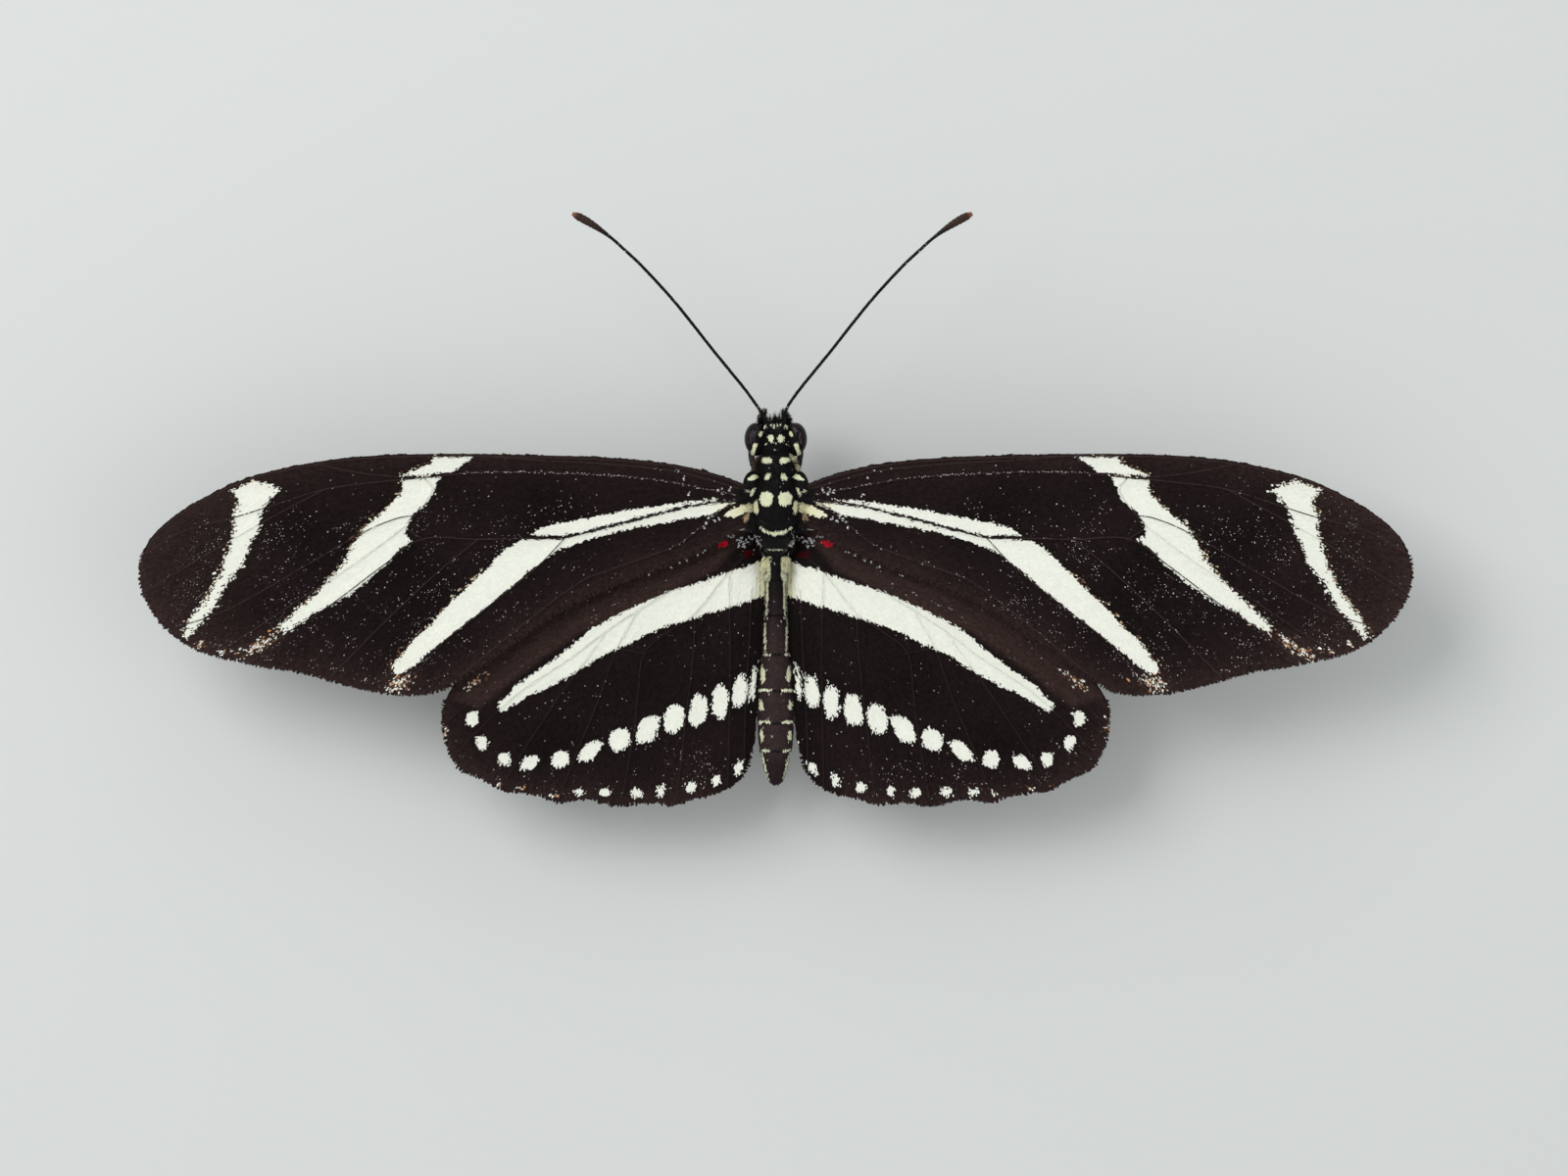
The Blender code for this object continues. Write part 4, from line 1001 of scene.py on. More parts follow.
CHEEK_SPOT = (1.0, 4.91, 0.11, 0.18, -0.05)
TEGULA_SPOTS = [(1.43, 2.08, 0.27, 0.19, -0.2), (1.47, 1.14, 0.11, 0.26, -0.1),
                (1.97, 1.17, 0.24, 0.12, 0.0)]
SCUTELLUM_EDGE = [(1.0, -1.17), (0.8, -1.37), (0.45, -1.54), (0.0, -1.6)]
SCUTELLUM_WIDTH = 0.12

BODY_GROUND = linear(13, 10, 10)
ABDOMEN_GROUND = linear(54, 40, 40)
BODY_PALE = linear(227, 229, 197)
BODY_WARM = linear(230, 224, 182)
HAIR_BROWN = linear(92, 72, 60)
HAIR_CREAM = linear(176, 150, 120)


def profile_table():
    """The body's profile as smooth dense rows, tail to head."""
    line = curve_through(np.array(BODY_PROFILE), 0.03)
    return line[np.argsort(line[:, 0])]


PROFILE = profile_table()


def body_point(y, angle):
    """A point of the body's skin: y along it, angle round it from its right side over the top."""
    width, above, below, middle, power = (np.interp(y, PROFILE[:, 0], PROFILE[:, k]) for k in range(1, 6))
    cos, sin = np.cos(angle), np.sin(angle)
    x = width * np.sign(cos) * np.abs(cos) ** (2 / power)
    z = np.where(sin > 0, above, below) * np.sign(sin) * np.abs(sin) ** (2 / power)
    top = smooth_step(sin, 0.0, 0.5)
    lift = 0.10 * top * bell(y, 2.95, 0.32) * bell(np.abs(x), 0.55, 0.42)
    lift -= 0.07 * bell(y, 2.22, 0.12) + 0.05 * bell(y, 3.45, 0.12)
    lift -= 0.03 * top * bell(x, 0.0, 0.07) * smooth_step(y, -1.0, -0.4) * (1 - smooth_step(y, 1.7, 2.1))
    lift -= 0.03 * top * bell(x, 0.0, 0.09) * smooth_step(y, 4.0, 4.4) * (1 - smooth_step(y, 5.2, 5.5))
    hind = -1.68 + 0.48 * (x / 1.05) ** 2
    lift += 0.12 * top * smooth_step(y - hind, -0.04, 0.03) * (1 - smooth_step(y - hind, 0.15, 0.6))
    lift -= 0.05 * top * bell(y - hind, 0.62, 0.09)
    lift += 0.07 * top * (bell(y, -2.15, 0.13) + bell(y, -2.62, 0.07))
    for end in SEGMENT_ENDS:
        behind = end - y
        lift -= np.where(behind > 0, SEGMENT_STEP * np.exp(-np.maximum(behind, 0.0) / 0.5), 0.0)
        lift += 0.012 * bell(behind, -0.06, 0.06)
    lift -= np.where(y < -3.3, 0.05 * bell(sin, -0.28, 0.09), 0.0)
    reach = np.sqrt(x * x + z * z)
    grow = 1.0 + lift / np.maximum(reach, 0.2)
    return np.stack([x * grow, y, middle + z * grow], axis=-1)


def body_frame(y, angle):
    """Points of the body's skin with their outward and backward directions."""
    step = 0.02
    point = body_point(y, angle)
    along = body_point(y - step, angle) - body_point(y + step, angle)
    round_it = body_point(y, angle + step) - body_point(y, angle - step)
    return point, unit(np.cross(round_it, along)), unit(along)


def body_marks(points, angle):
    """Distance to the pale marks of the body, below zero inside, and their colour."""
    folded = np.column_stack([np.abs(points[:, 0]), points[:, 1]])
    edge = np.full(len(points), FAR)
    for spot in BODY_SPOTS:
        edge = np.minimum(edge, spot_distance(folded, *spot))
    line = np.array(curve_through(SCUTELLUM_EDGE, 0.05))
    to_line = np.sqrt(((folded[:, None, :] - line[None]) ** 2).sum(axis=2).min(axis=1))
    edge = np.minimum(edge, to_line - SCUTELLUM_WIDTH * (1.0 - 0.6 * folded[:, 0]))
    sin = np.sin(angle)
    edge = np.where(sin > 0.12, edge, FAR)
    below = np.where((points[:, 1] < -3.3) & (points[:, 1] > -17.2), np.abs(sin + 0.42) - 0.1, FAR)
    under = np.where((points[:, 1] < -3.6) & (points[:, 1] > -16.6), np.abs(sin + 0.93) - 0.025, FAR)
    pleura = np.minimum(spot_distance(np.column_stack([points[:, 1], sin]), 1.2, -0.25, 0.5, 0.22, 0.0),
                        spot_distance(np.column_stack([points[:, 1], sin]), -0.6, -0.35, 0.55, 0.2, 0.0))
    edge = np.minimum(edge, np.minimum(np.minimum(below, under), pleura))
    warm = np.maximum(bell(points[:, 0], 0.0, 1.2) * bell(points[:, 1], -4.2, 1.6),
                      bell(folded[:, 0], 1.25, 0.15) * bell(points[:, 1], 0.1, 0.5))
    return edge, mixed(BODY_PALE, BODY_WARM, np.clip(np.where(sin < -0.1, 0.55, warm), 0.0, 1.0))


def body_ground(points):
    """The body's dark colour: black before the waist, purplish brown behind it."""
    y = points[:, 1]
    brown = smooth_step(-y, 3.6, 10.3) * (1.0 - 0.5 * smooth_step(-y, 15.6, 16.8))
    ground = mixed(BODY_GROUND, ABDOMEN_GROUND, brown)
    for end in SEGMENT_ENDS:
        ground = ground * (1.0 - 0.85 * bell(y, end - 0.03, 0.07))[:, None]
    return ground


def grid_faces(rows, sides):
    """Triangles of a closed tube of rows, and each corner's share along and round it."""
    row, column = np.meshgrid(np.arange(rows - 1), np.arange(sides), indexing="ij")
    row, column = row.ravel(), column.ravel()
    following = (column + 1) % sides
    a, b = row * sides + column, row * sides + following
    c, d = b + sides, a + sides
    faces = np.concatenate([np.stack([a, b, c], axis=1), np.stack([a, c, d], axis=1)])
    along = np.concatenate([np.stack([row, row, row + 1], axis=1),
                            np.stack([row, row + 1, row + 1], axis=1)])
    beside = np.concatenate([np.stack([column, column + 1, column + 1], axis=1),
                             np.stack([column, column + 1, column], axis=1)])
    return faces, np.stack([along / (rows - 1), beside / sides], axis=-1).reshape(-1, 2)


def loft(rings, chart, ends=None):
    """A closed form through rings that turn anticlockwise about its course, with pointed or given ends."""
    rows, sides = rings.shape[:2]
    faces, places = grid_faces(rows, sides)
    ring = np.arange(sides)
    following = (ring + 1) % sides
    last = (rows - 1) * sides
    middles = rings.mean(axis=1)
    if ends is None:
        ends = [middles[k] + (middles[k] - middles[beside]) * 0.3 for k, beside in ((0, 1), (-1, -2))]
    points = np.vstack([rings.reshape(-1, 3), ends])
    tip = np.full(sides, rows * sides)
    caps = np.concatenate([np.stack([tip, following, ring], axis=1),
                           np.stack([tip + 1, last + ring, last + following], axis=1)])
    cap_places = np.zeros((2 * sides, 3, 2))
    cap_places[:sides, :, 1] = np.stack([ring + 0.5, ring + 1, ring], axis=1) / sides
    cap_places[sides:, :, 0] = 1.0
    cap_places[sides:, :, 1] = np.stack([ring + 0.5, ring, ring + 1], axis=1) / sides
    return points, np.vstack([faces, caps]), on_chart(np.vstack([places, cap_places.reshape(-1, 2)]), chart)


def tube(points, radii, sides=TUBE_SIDES, chart=TUBE_CHART):
    """A closed tube along points: its points, faces and map places inside the chart."""
    along = unit(np.gradient(points, axis=0))
    side = unit(np.cross(along[0], [0.31, 0.27, 0.91]))
    turn = np.arange(sides) * 2 * math.pi / sides
    rings = []
    for centre, heading, radius in zip(points, along, radii):
        side = unit(side - heading * (side @ heading))
        over = np.cross(heading, side)
        rings.append(centre + radius * (np.cos(turn)[:, None] * side + np.sin(turn)[:, None] * over))
    return loft(np.array(rings), chart)


def joined(parts):
    """Several closed forms as one list of points, faces and map places."""
    shift = np.cumsum([0] + [len(points) for points, _, _ in parts[:-1]])
    return (np.vstack([points for points, _, _ in parts]),
            np.vstack([faces + start for (_, faces, _), start in zip(parts, shift)]),
            np.vstack([places for _, _, places in parts]))


def body_map(y, beside):
    """Map places of the body, by y and by the share of the way round it."""
    along = (BODY_NOSE - y) / BODY_LENGTH
    return np.stack([UV_EDGE + along * (1 - 2 * UV_EDGE), UV_EDGE + BODY_MAP_HEIGHT * beside], axis=1)


def body_place(y, angle):
    """Where a point of the body's skin lies on its map."""
    return body_map(y, np.mod(angle + math.pi / 2, 2 * math.pi) / (2 * math.pi))


def build_body_skin():
    """Head, thorax and abdomen as one continuous skin."""
    tail, nose = BODY_PROFILE[-1][0], BODY_PROFILE[0][0]
    creases = [end + k for end in SEGMENT_ENDS for k in (-0.03, -0.002, 0.01)]
    rows = np.unique(np.concatenate([np.arange(tail, nose, BODY_ROW), [nose], creases]))
    turn = np.arange(BODY_SIDES) * 2 * math.pi / BODY_SIDES - math.pi / 2
    y, angle = np.meshgrid(rows, turn, indexing="ij")
    rings = body_point(y, angle)
    ends = [rings[0].mean(axis=0) - [0, BODY_TIP, 0], rings[-1].mean(axis=0) + [0, BODY_TIP, 0]]
    points, faces, places = loft(rings, (0.0, 0.0, 1.0, 1.0), ends)
    corner_y = np.interp(places[:, 0] * (len(rows) - 1), np.arange(len(rows)), rows)
    edge, pale = body_marks(points, np.append(angle, [0.0, 0.0]))
    new_piece("body_skin", points, *flipped(faces, body_map(corner_y, places[:, 1])),
              marked_material("body_skin", 0.3, 0.12), "body", ("head", "thorax", "abdomen"),
              edge=edge, ground=body_ground(points), pale=pale)


def body_grid(low, high, spacing, rng):
    """Even, shaken places over a stretch of the body, as y and angle."""
    found = []
    for y in np.arange(low, high, spacing * 0.9):
        ring = body_point(np.full(64, y), np.linspace(0, 2 * math.pi, 64))
        count = max(6, int(distances(ring)[-1] / spacing))
        angle = (np.arange(count) + rng.uniform(-0.3, 0.3, count)) * 2 * math.pi / count + rng.uniform(0, 1)
        found.append(np.stack([y + rng.uniform(-0.3, 0.3, count) * spacing, angle], axis=1))
    return np.vstack(found).T


def build_body_coat(material):
    """The short flat scales all over the body: low and high y, spacing, length and width of each stretch."""
    rng = np.random.default_rng(SEEDS["body scales"])
    coats = []
    for low, high, spacing, length, width in ((-17.9, -2.9, 0.11, 0.19, 0.115), (-2.9, 3.4, 0.1, 0.19, 0.1),
                                              (3.4, 5.55, 0.085, 0.15, 0.08)):
        y, angle = body_grid(low, high, spacing, rng)
        point, up, back = body_frame(y, angle)
        bare = (y < -1.95) & (y > -2.75) & (np.sin(angle) > 0.3)
        y, angle, point, up, back = chosen(~bare, y, angle, point, up, back)
        count = len(y)
        shown = point + back * length * 0.6
        edge, pale = body_marks(shown, angle)
        inside = edge + rng.normal(0.0, 0.02, count) < 0
        shade = np.where(inside, rng.uniform(0.93, 1.05, count), rng.uniform(0.65, 1.4, count))
        tint = np.where(inside[:, None], pale, body_ground(shown)) * shade[:, None]
        tint[(~inside) & (rng.random(count) < 0.006)] = FLECK * 0.5
        heading = swung(up, back, 0.2, rng)
        heading = np.where((y > 5.25)[:, None], -heading, heading)
        size = rng.uniform(0.8, 1.2, count)
        lift = np.where(inside, 0.045, 0.035) * rng.uniform(0.6, 1.4, count)
        coats.append((point, point + heading * (length * size)[:, None], up, width * size, lift, tint,
                      body_place(y, angle)))
    scale_coat("body_scales", coats, material, "body")


def hair_rows(y, angle, length, lean, width, tint, rng, keep_all):
    """Hairs rooted on the body, off the pale marks unless all are kept; lean runs from 0, flat, to 1."""
    point, up, back = body_frame(y, angle)
    flat = swung(up, back, 0.3, rng)
    lean = lean[:, None]
    start = unit(flat * (1 - lean) + up * lean)
    mid, tip = bent(point, start, unit(flat * (1.25 - lean) + up * (lean * 0.6)), length)
    free = (np.minimum(body_marks(mid, angle)[0], body_marks(tip, angle)[0]) > 0.03) | keep_all
    root, mid, tip, tint, place = chosen(free, point - up * HAIR_SINK, mid, tip, tint, body_place(y, angle))
    return root, mid, tip, width, tint, place


def build_body_hair(material):
    """Longer hair: on the brow, the collar's sides, the wing roots, the thorax and the abdomen's base."""
    rng = np.random.default_rng(SEEDS["body hair"])
    coats = []

    def grown(count, y_range, angles, length, lean, width, colour, spread=0.25, over_marks=False):
        """Hairs scattered over a stretch of y and over ranges of angles in degrees."""
        y = rng.uniform(*y_range, count)
        angle = np.radians(np.where(rng.random(count) < 0.5, rng.uniform(*angles[0], count),
                                    rng.uniform(*angles[-1], count)))
        size = rng.uniform(*length, count)
        tint = shaded(colour, 1 - spread * 2, 1 + spread * 2, count, rng)
        coats.append(hair_rows(y, angle, size, rng.uniform(*lean, count), width, tint, rng, over_marks))

    def both(low, high):
        """A range of angles on the right and the same on the left."""
        return (low, high), (180 - high, 180 - low)

    grown(3000, (-1.6, 2.9), both(-80, 88), (0.2, 0.42), (0.12, 0.35), 0.028, BODY_GROUND * 1.8)
    grown(1500, (-2.6, 2.2), both(-88, -5), (0.4, 0.8), (0.2, 0.5), 0.032, HAIR_BROWN * 0.3)
    grown(480, (2.45, 3.6), both(-35, 28), (0.25, 0.5), (0.35, 0.7), 0.03, HAIR_BROWN * 0.35, 0.4, True)
    grown(60, (2.5, 3.6), both(-15, 30), (0.25, 0.45), (0.4, 0.8), 0.03, HAIR_BROWN, 0.3, True)
    grown(110, (3.05, 3.75), ((-15, 32),), (0.22, 0.42), (0.4, 0.8), 0.032, BODY_WARM * 0.85, 0.15, True)
    grown(30, (2.45, 2.95), ((-5, 25),), (0.25, 0.4), (0.5, 0.9), 0.04, BODY_WARM, 0.1, True)
    grown(45, (-2.4, -1.6), both(10, 48), (0.08, 0.2), (0.3, 0.8), 0.04, FLECK, 0.1)
    grown(240, (0.6, 1.9), both(15, 45), (0.3, 0.55), (0.4, 0.8), 0.03, BODY_GROUND * 3)
    grown(420, (-3.9, -3.05), both(-12, 62), (0.25, 0.5), (0.3, 0.8), 0.045, BODY_WARM, 0.08, True)
    grown(420, (-4.5, -3.3), both(20, 60), (0.2, 0.42), (0.15, 0.6), 0.045, BODY_PALE, 0.05, True)
    grown(200, (-4.6, -2.95), both(0, 72), (0.2, 0.4), (0.3, 0.8), 0.03, BODY_GROUND * 2, 0.2, True)
    grown(60, (-4.2, -3.2), both(10, 60), (0.25, 0.4), (0.4, 0.9), 0.03, HAIR_BROWN, 0.2, True)
    grown(800, (3.6, 5.3), both(-85, 85), (0.15, 0.3), (0.3, 0.7), 0.024, BODY_GROUND * 1.8)
    grown(500, (-17.9, -4.5), both(-89, 89), (0.12, 0.2), (0.1, 0.3), 0.022, ABDOMEN_GROUND)

    count = 300
    x = rng.uniform(-0.75, 0.75, count)
    brow = np.column_stack([x, 5.6 - 0.35 * (x / 0.95) ** 2 + rng.uniform(-0.06, 0.04, count),
                            HEAD_MIDDLE + rng.uniform(-0.5, 0.45, count)])
    reach = rng.uniform(0.2, 1.0, count) * (1.0 - 0.25 * np.abs(x))
    heading = unit(np.column_stack([x * 0.3 + rng.normal(0, 0.12, count), np.ones(count),
                                    rng.normal(0.1, 0.3, count)]))
    mid, tip = bent(brow, heading, unit(heading + [0, 0, 0.25]), reach, 0.55)
    place = body_place(brow[:, 1], np.arctan2(brow[:, 2] - HEAD_MIDDLE, x))
    tint = shaded(BODY_GROUND * 1.4, 0.6, 1.6, count, rng)
    coats.append((brow - heading * 0.1, mid, tip, 0.032, tint, place))
    hair_coat("body_hair", coats, material, "body")


# The right antenna from root to tip; past the root both are shifted a little to the left, as in the photo.
ANTENNA_PATH = [(0.3, 4.95, 7.8), (0.37, 5.15, 8.08), (0.47, 5.45, 8.34), (0.85, 6.45, 8.75),
                (1.75, 7.75, 9.15), (2.85, 9.1, 9.45), (3.95, 10.45, 9.7), (5.05, 11.85, 9.9),
                (6.3, 13.4, 10.1), (7.55, 14.8, 10.25), (8.65, 15.95, 10.35), (9.62, 16.85, 10.4),
                (10.4, 17.55, 10.45), (11.3, 18.22, 10.45), (12.2, 18.78, 10.45), (12.98, 19.18, 10.45)]
ANTENNA_SHIFT = {"left": 0.22, "right": -0.22}
ANTENNA_RADIUS = 0.1
ANTENNA_SEGMENT = 0.3
CLUB_RADIUS = 0.27
CLUB_LENGTH = 3.2

# Palps, tongue and legs of the right side as (x, y, z, radius); None puts the underside on the floor.
PALP = [(0.78, 4.6, 5.7, 0.16), (0.84, 5.35, 5.55, 0.22), (0.82, 5.95, 5.95, 0.24), (0.72, 6.2, 6.6, 0.2),
        (0.62, 6.36, 7.1, 0.12), (0.58, 6.42, 7.4, 0.05)]
PALP_SHIFT = {"left": 0.14, "right": -0.08}
TONGUE_ROOT = (0.0, 4.3, 5.95)
TONGUE_RADIUS = 0.13
TONGUE_RING = 0.11
COIL_MIDDLE = (5.0, 4.4)
COIL_OUTER = 1.08
COIL_INNER = 0.22
COIL_TURNS = 3.6
COIL_START = math.radians(95)
LEGS = {
    "midleg": [[(0.55, 0.75, 5.5, 0.3), (0.95, 0.6, 4.95, 0.24), (1.3, 0.55, 4.72, 0.17)],
               [(1.3, 0.55, 4.74, 0.17), (3.0, 1.05, 5.15, 0.26), (4.4, 1.4, 5.5, 0.22),
                (5.25, 1.6, 5.76, 0.15)],
               [(5.25, 1.6, 5.74, 0.14), (5.95, 1.7, 4.6, 0.16), (6.7, 1.68, 3.1, 0.15),
                (7.4, 1.6, 1.9, 0.13)],
               [(7.4, 1.6, 1.88, 0.12), (8.1, 1.58, 0.45, 0.12), (8.55, 1.56, None, 0.12),
                (9.3, 1.53, None, 0.115), (10.0, 1.48, None, 0.11), (10.75, 1.38, None, 0.1)]],
    "hindleg": [[(0.5, -1.15, 5.5, 0.3), (0.85, -1.2, 4.95, 0.24), (1.15, -1.4, 4.74, 0.17)],
                [(1.15, -1.4, 4.76, 0.17), (2.6, -3.1, 5.1, 0.26), (3.6, -4.35, 5.35, 0.22),
                 (4.35, -5.25, 5.56, 0.15)],
                [(4.35, -5.25, 5.54, 0.14), (5.1, -6.35, 4.5, 0.16), (5.9, -7.45, 3.1, 0.15),
                 (6.55, -8.35, 1.85, 0.13)],
                [(6.55, -8.35, 1.83, 0.12), (7.0, -9.1, 0.45, 0.12), (7.2, -9.55, None, 0.12),
                 (7.45, -10.3, None, 0.115), (7.72, -11.0, None, 0.11), (7.98, -11.85, None, 0.1)]],
    "foreleg": [[(0.75, 2.2, 5.7, 0.22), (1.2, 2.45, 5.4, 0.2), (1.5, 3.0, 5.0, 0.2)],
                [(1.5, 3.0, 5.0, 0.2), (1.62, 3.8, 4.72, 0.19), (1.5, 4.6, 4.45, 0.15),
                 (1.3, 5.2, 4.3, 0.07)]]}
LEG_NODES = {"midleg": ("midleg_femur", "midleg_tibia", "midleg_tarsus"),
             "hindleg": ("hindleg_femur", "hindleg_tibia", "hindleg_tarsus"), "foreleg": ("foreleg",)}
TARSUS_SEGMENT = 0.62
TARSUS = 3
LINE_STEP = 0.06
FLOOR_GAP = 0.002
TEGULA_MIDDLE = np.array([1.55, 1.4, 8.05])
TEGULA_RADII = np.array([0.58, 1.02, 0.45])

# Hair at the wing roots: how many, the box they grow in, where they point, their lengths and their colour.
WING_ROOT_HAIR = [
    (380, (1.3, 0.4, 8.15), (2.2, 1.3, 8.45), (1.0, -0.1, 0.05), (0.4, 0.8), BODY_GROUND * 1.8),
    (300, (1.2, -1.3, 7.5), (1.9, -0.1, 8.3), (0.8, -0.8, 0.12), (0.35, 0.7), BODY_GROUND * 2.2),
    (60, (1.45, -0.1, 8.2), (1.75, 0.45, 8.5), (1.0, -0.55, 0.1), (0.25, 0.45), BODY_WARM * 0.75),
    (46, (1.7, -0.6, 8.05), (1.95, -0.25, 8.35), (0.5, -0.8, 0.1), (0.25, 0.45), HAIR_CREAM)]

LEG_DARK = linear(40, 30, 28)
LEG_PALE = linear(214, 204, 164)
CLUB_BROWN = linear(55, 38, 28)
TIP_BROWN = linear(132, 80, 52)
TONGUE_BROWN = linear(74, 48, 34)


def directions(facing, radii, fall, turn):
    """Directions by their fall from the pole opposite to facing and by their turn about it."""
    pole = unit(np.array(facing) * radii)
    side = unit(np.cross(pole, [0.0, 0.0, 1.0]))
    fall, turn = fall[..., None], turn[..., None]
    return np.sin(fall) * (np.cos(turn) * side + np.sin(turn) * np.cross(pole, side)) - np.cos(fall) * pole


def ellipsoid(middle, radii, facing=(1.0, 0.0, 0.0), cut=177.0, rows=40, sides=64):
    """A closed ellipsoid whose rows start opposite to facing; the form ends at the cut, in degrees."""
    fall, turn = np.meshgrid(np.radians(np.linspace(3.0, cut, rows)), np.arange(sides) * 2 * math.pi / sides,
                             indexing="ij")
    return loft(middle + directions(facing, radii, fall, turn) * radii, FORM_CHART)


def brushed(up, way):
    """The direction nearest to a way that lies flat on a surface."""
    return unit(np.cross(up, np.cross(np.tile(way, (len(up), 1)), up)))


def speckled(pale, colour, ground, rng):
    """Tints of scales: pale ones nearly even, dark ones uneven."""
    shade = np.where(pale, rng.uniform(0.93, 1.04, len(pale)), rng.uniform(0.7, 1.4, len(pale)))
    return np.where(pale[:, None], colour, ground) * shade[:, None]


def build_eyes():
    """The faceted eyes, each replacing its node."""
    material = eye_material()
    arc = curve_through(EYE_ARC, 0.03)
    for name, side in SIDES.items():
        part = placed(ellipsoid(EYE_MIDDLE, EYE_RADII, rows=64, sides=96), side)
        plan = np.abs(part[0][:, :2])
        gap = np.sqrt(((plan[:, None, :] - arc[None]) ** 2).sum(axis=2).min(axis=1))
        # A pale streak of painted sheen along an arc on the eye's upper half.
        streak = 0.08 + 0.82 * bell(gap, 0.0, 0.13) * smooth_step(part[0][:, 2] - EYE_MIDDLE[2], 0.0, 0.3)
        new_piece("eye_" + name + "_facets", *part, material, "eye", ("eye_" + name,), streak=streak)


def build_cheeks(skin, coat):
    """The scaly rims that hold the eyes' inner halves, with a pale crescent behind each eye."""
    rng = np.random.default_rng(SEEDS["cheeks"])
    count = 3600
    radii = EYE_RADII + CHEEK_RIM
    for name, side in SIDES.items():
        cheek = placed(ellipsoid(EYE_MIDDLE, radii, EYE_FACING, cut=91.0), side)
        new_piece("cheek_" + name, *cheek, skin, "body", tint=BODY_GROUND)
        fall = np.arccos(rng.uniform(-0.03, 1.0, count))
        turn = rng.uniform(0, 2 * math.pi, count)
        out = directions(EYE_FACING, EYE_RADII, fall, turn)
        root = EYE_MIDDLE + out * radii
        up = unit(out / EYE_RADII)
        edge = np.abs((root - EYE_MIDDLE) @ EYE_FACING + 0.11) - 0.13
        pale = (edge < 0) & (root[:, 1] < EYE_MIDDLE[1] - 0.2) & (root[:, 2] > EYE_MIDDLE[2] - 0.55)
        pale |= (spot_distance(root[:, :2] - [0.0, 0.08], *CHEEK_SPOT) < 0) & (root[:, 2] > EYE_MIDDLE[2])
        tint = speckled(pale, (BODY_WARM + BODY_PALE) / 2, BODY_GROUND, rng)
        tip = root + brushed(up, [0.15, -1.0, 0.1]) * rng.uniform(0.1, 0.16, count)[:, None]
        place = on_chart(np.stack([turn / (2 * math.pi), fall / math.pi], axis=1), FORM_CHART)
        rows = [(root, tip, up, 0.075, 0.02, tint, place)]
        scale_coat("cheek_" + name + "_scales", rows, coat, "body", side)


def build_antennae(scales):
    """Thin ringed feelers that end in slim clubs with brown tips."""
    material = plain_material("antenna_rings", 0.45, 0.15, 0.06, 0.006)
    for name, side in SIDES.items():
        line = curve_through(ANTENNA_PATH, 0.05)
        line[:, 0] += ANTENNA_SHIFT[name] * smooth_step(line[:, 1], 5.1, 7.0)
        reach = distances(line)
        left = reach[-1] - reach
        club = smooth_step(CLUB_LENGTH - left, 0.0, 2.4) * (1 - 0.8 * smooth_step(0.6 - left, 0.0, 0.6) ** 2)
        radii = ANTENNA_RADIUS + (CLUB_RADIUS - ANTENNA_RADIUS) * club
        radii *= 1.0 - 0.13 * np.maximum(0.0, np.cos(reach / ANTENNA_SEGMENT * 2 * math.pi)) ** 3
        radii += 0.08 * (1 - smooth_step(reach, 0.4, 0.75))
        left = np.append(np.repeat(left, TUBE_SIDES), left[[0, -1]])
        brown = smooth_step(CLUB_LENGTH - left, 0.3, 2.0)
        tint = mixed(mixed(BODY_GROUND, CLUB_BROWN, brown), TIP_BROWN, smooth_step(0.4 - left, 0.0, 0.35))
        new_piece("antenna_" + name + "_rings", *placed(tube(line, radii), side), material, "antenna",
                  ("antenna_" + name,), tint=tint)
        rng = np.random.default_rng(SEEDS["antennae"])
        root, out, heading, place = tube_roots(line, radii, 1500, rng)
        ahead = np.linalg.norm(root - line[-1], axis=1)
        kept = (ahead > 0.8) & ((ahead > 2.4) | (rng.random(len(root)) < 0.4))
        white = (out[:, 2] > -0.3) & (rng.random(len(root)) < 0.03)
        tint = np.where(white[:, None], FLECK * 0.6, BODY_GROUND * 1.3)
        tint = shaded(tint, 0.6, 1.5, len(root), rng)
        root, out, heading, tint, place = chosen(kept, root, out, heading, tint, place)
        coat = scales_along(root, heading, out, ANTENNA_SCALE, tint, place)
        scale_coat("antenna_" + name + "_scales", [coat], scales, "antenna", side)


def tube_roots(line, radii, count, rng):
    """Scattered roots on a tube, with their outward and forward directions and their map places."""
    along = rng.uniform(0.0, len(line) - 1.001, count)
    low = along.astype(int)
    share = along - low
    centre = mixed(line[low], line[low + 1], share)
    radius = radii[low] * (1 - share) + radii[low + 1] * share
    heading = unit(line[low + 1] - line[low])
    side = unit(np.cross(heading, [0.31, 0.27, 0.91]))
    turn = rng.uniform(0, 2 * math.pi, count)
    out = np.cos(turn)[:, None] * side + np.sin(turn)[:, None] * np.cross(heading, side)
    place = on_chart(np.stack([along / len(line), turn / (2 * math.pi)], axis=1), TUBE_CHART)
    return centre + out * radius[:, None], out, heading, place


def tube_hairs(line, radii, count, reach, leans, sink, width, tint, rng):
    """Hairs on a tube that lean out from it first by one share and then by another."""
    root, out, heading, place = tube_roots(line, radii, count, rng)
    mid, tip = bent(root, *(unit(heading + out * lean) for lean in leans), rng.uniform(*reach, count))
    return root - out * sink, mid, tip, width, tint, place


def tube_line(points, spacing=LINE_STEP):
    """A smooth middle line and its radii from (x, y, z, radius) points."""
    line = curve_through([(x, y, radius if z is None else z, radius) for x, y, z, radius in points], spacing)
    return line[:, :3], line[:, 3]


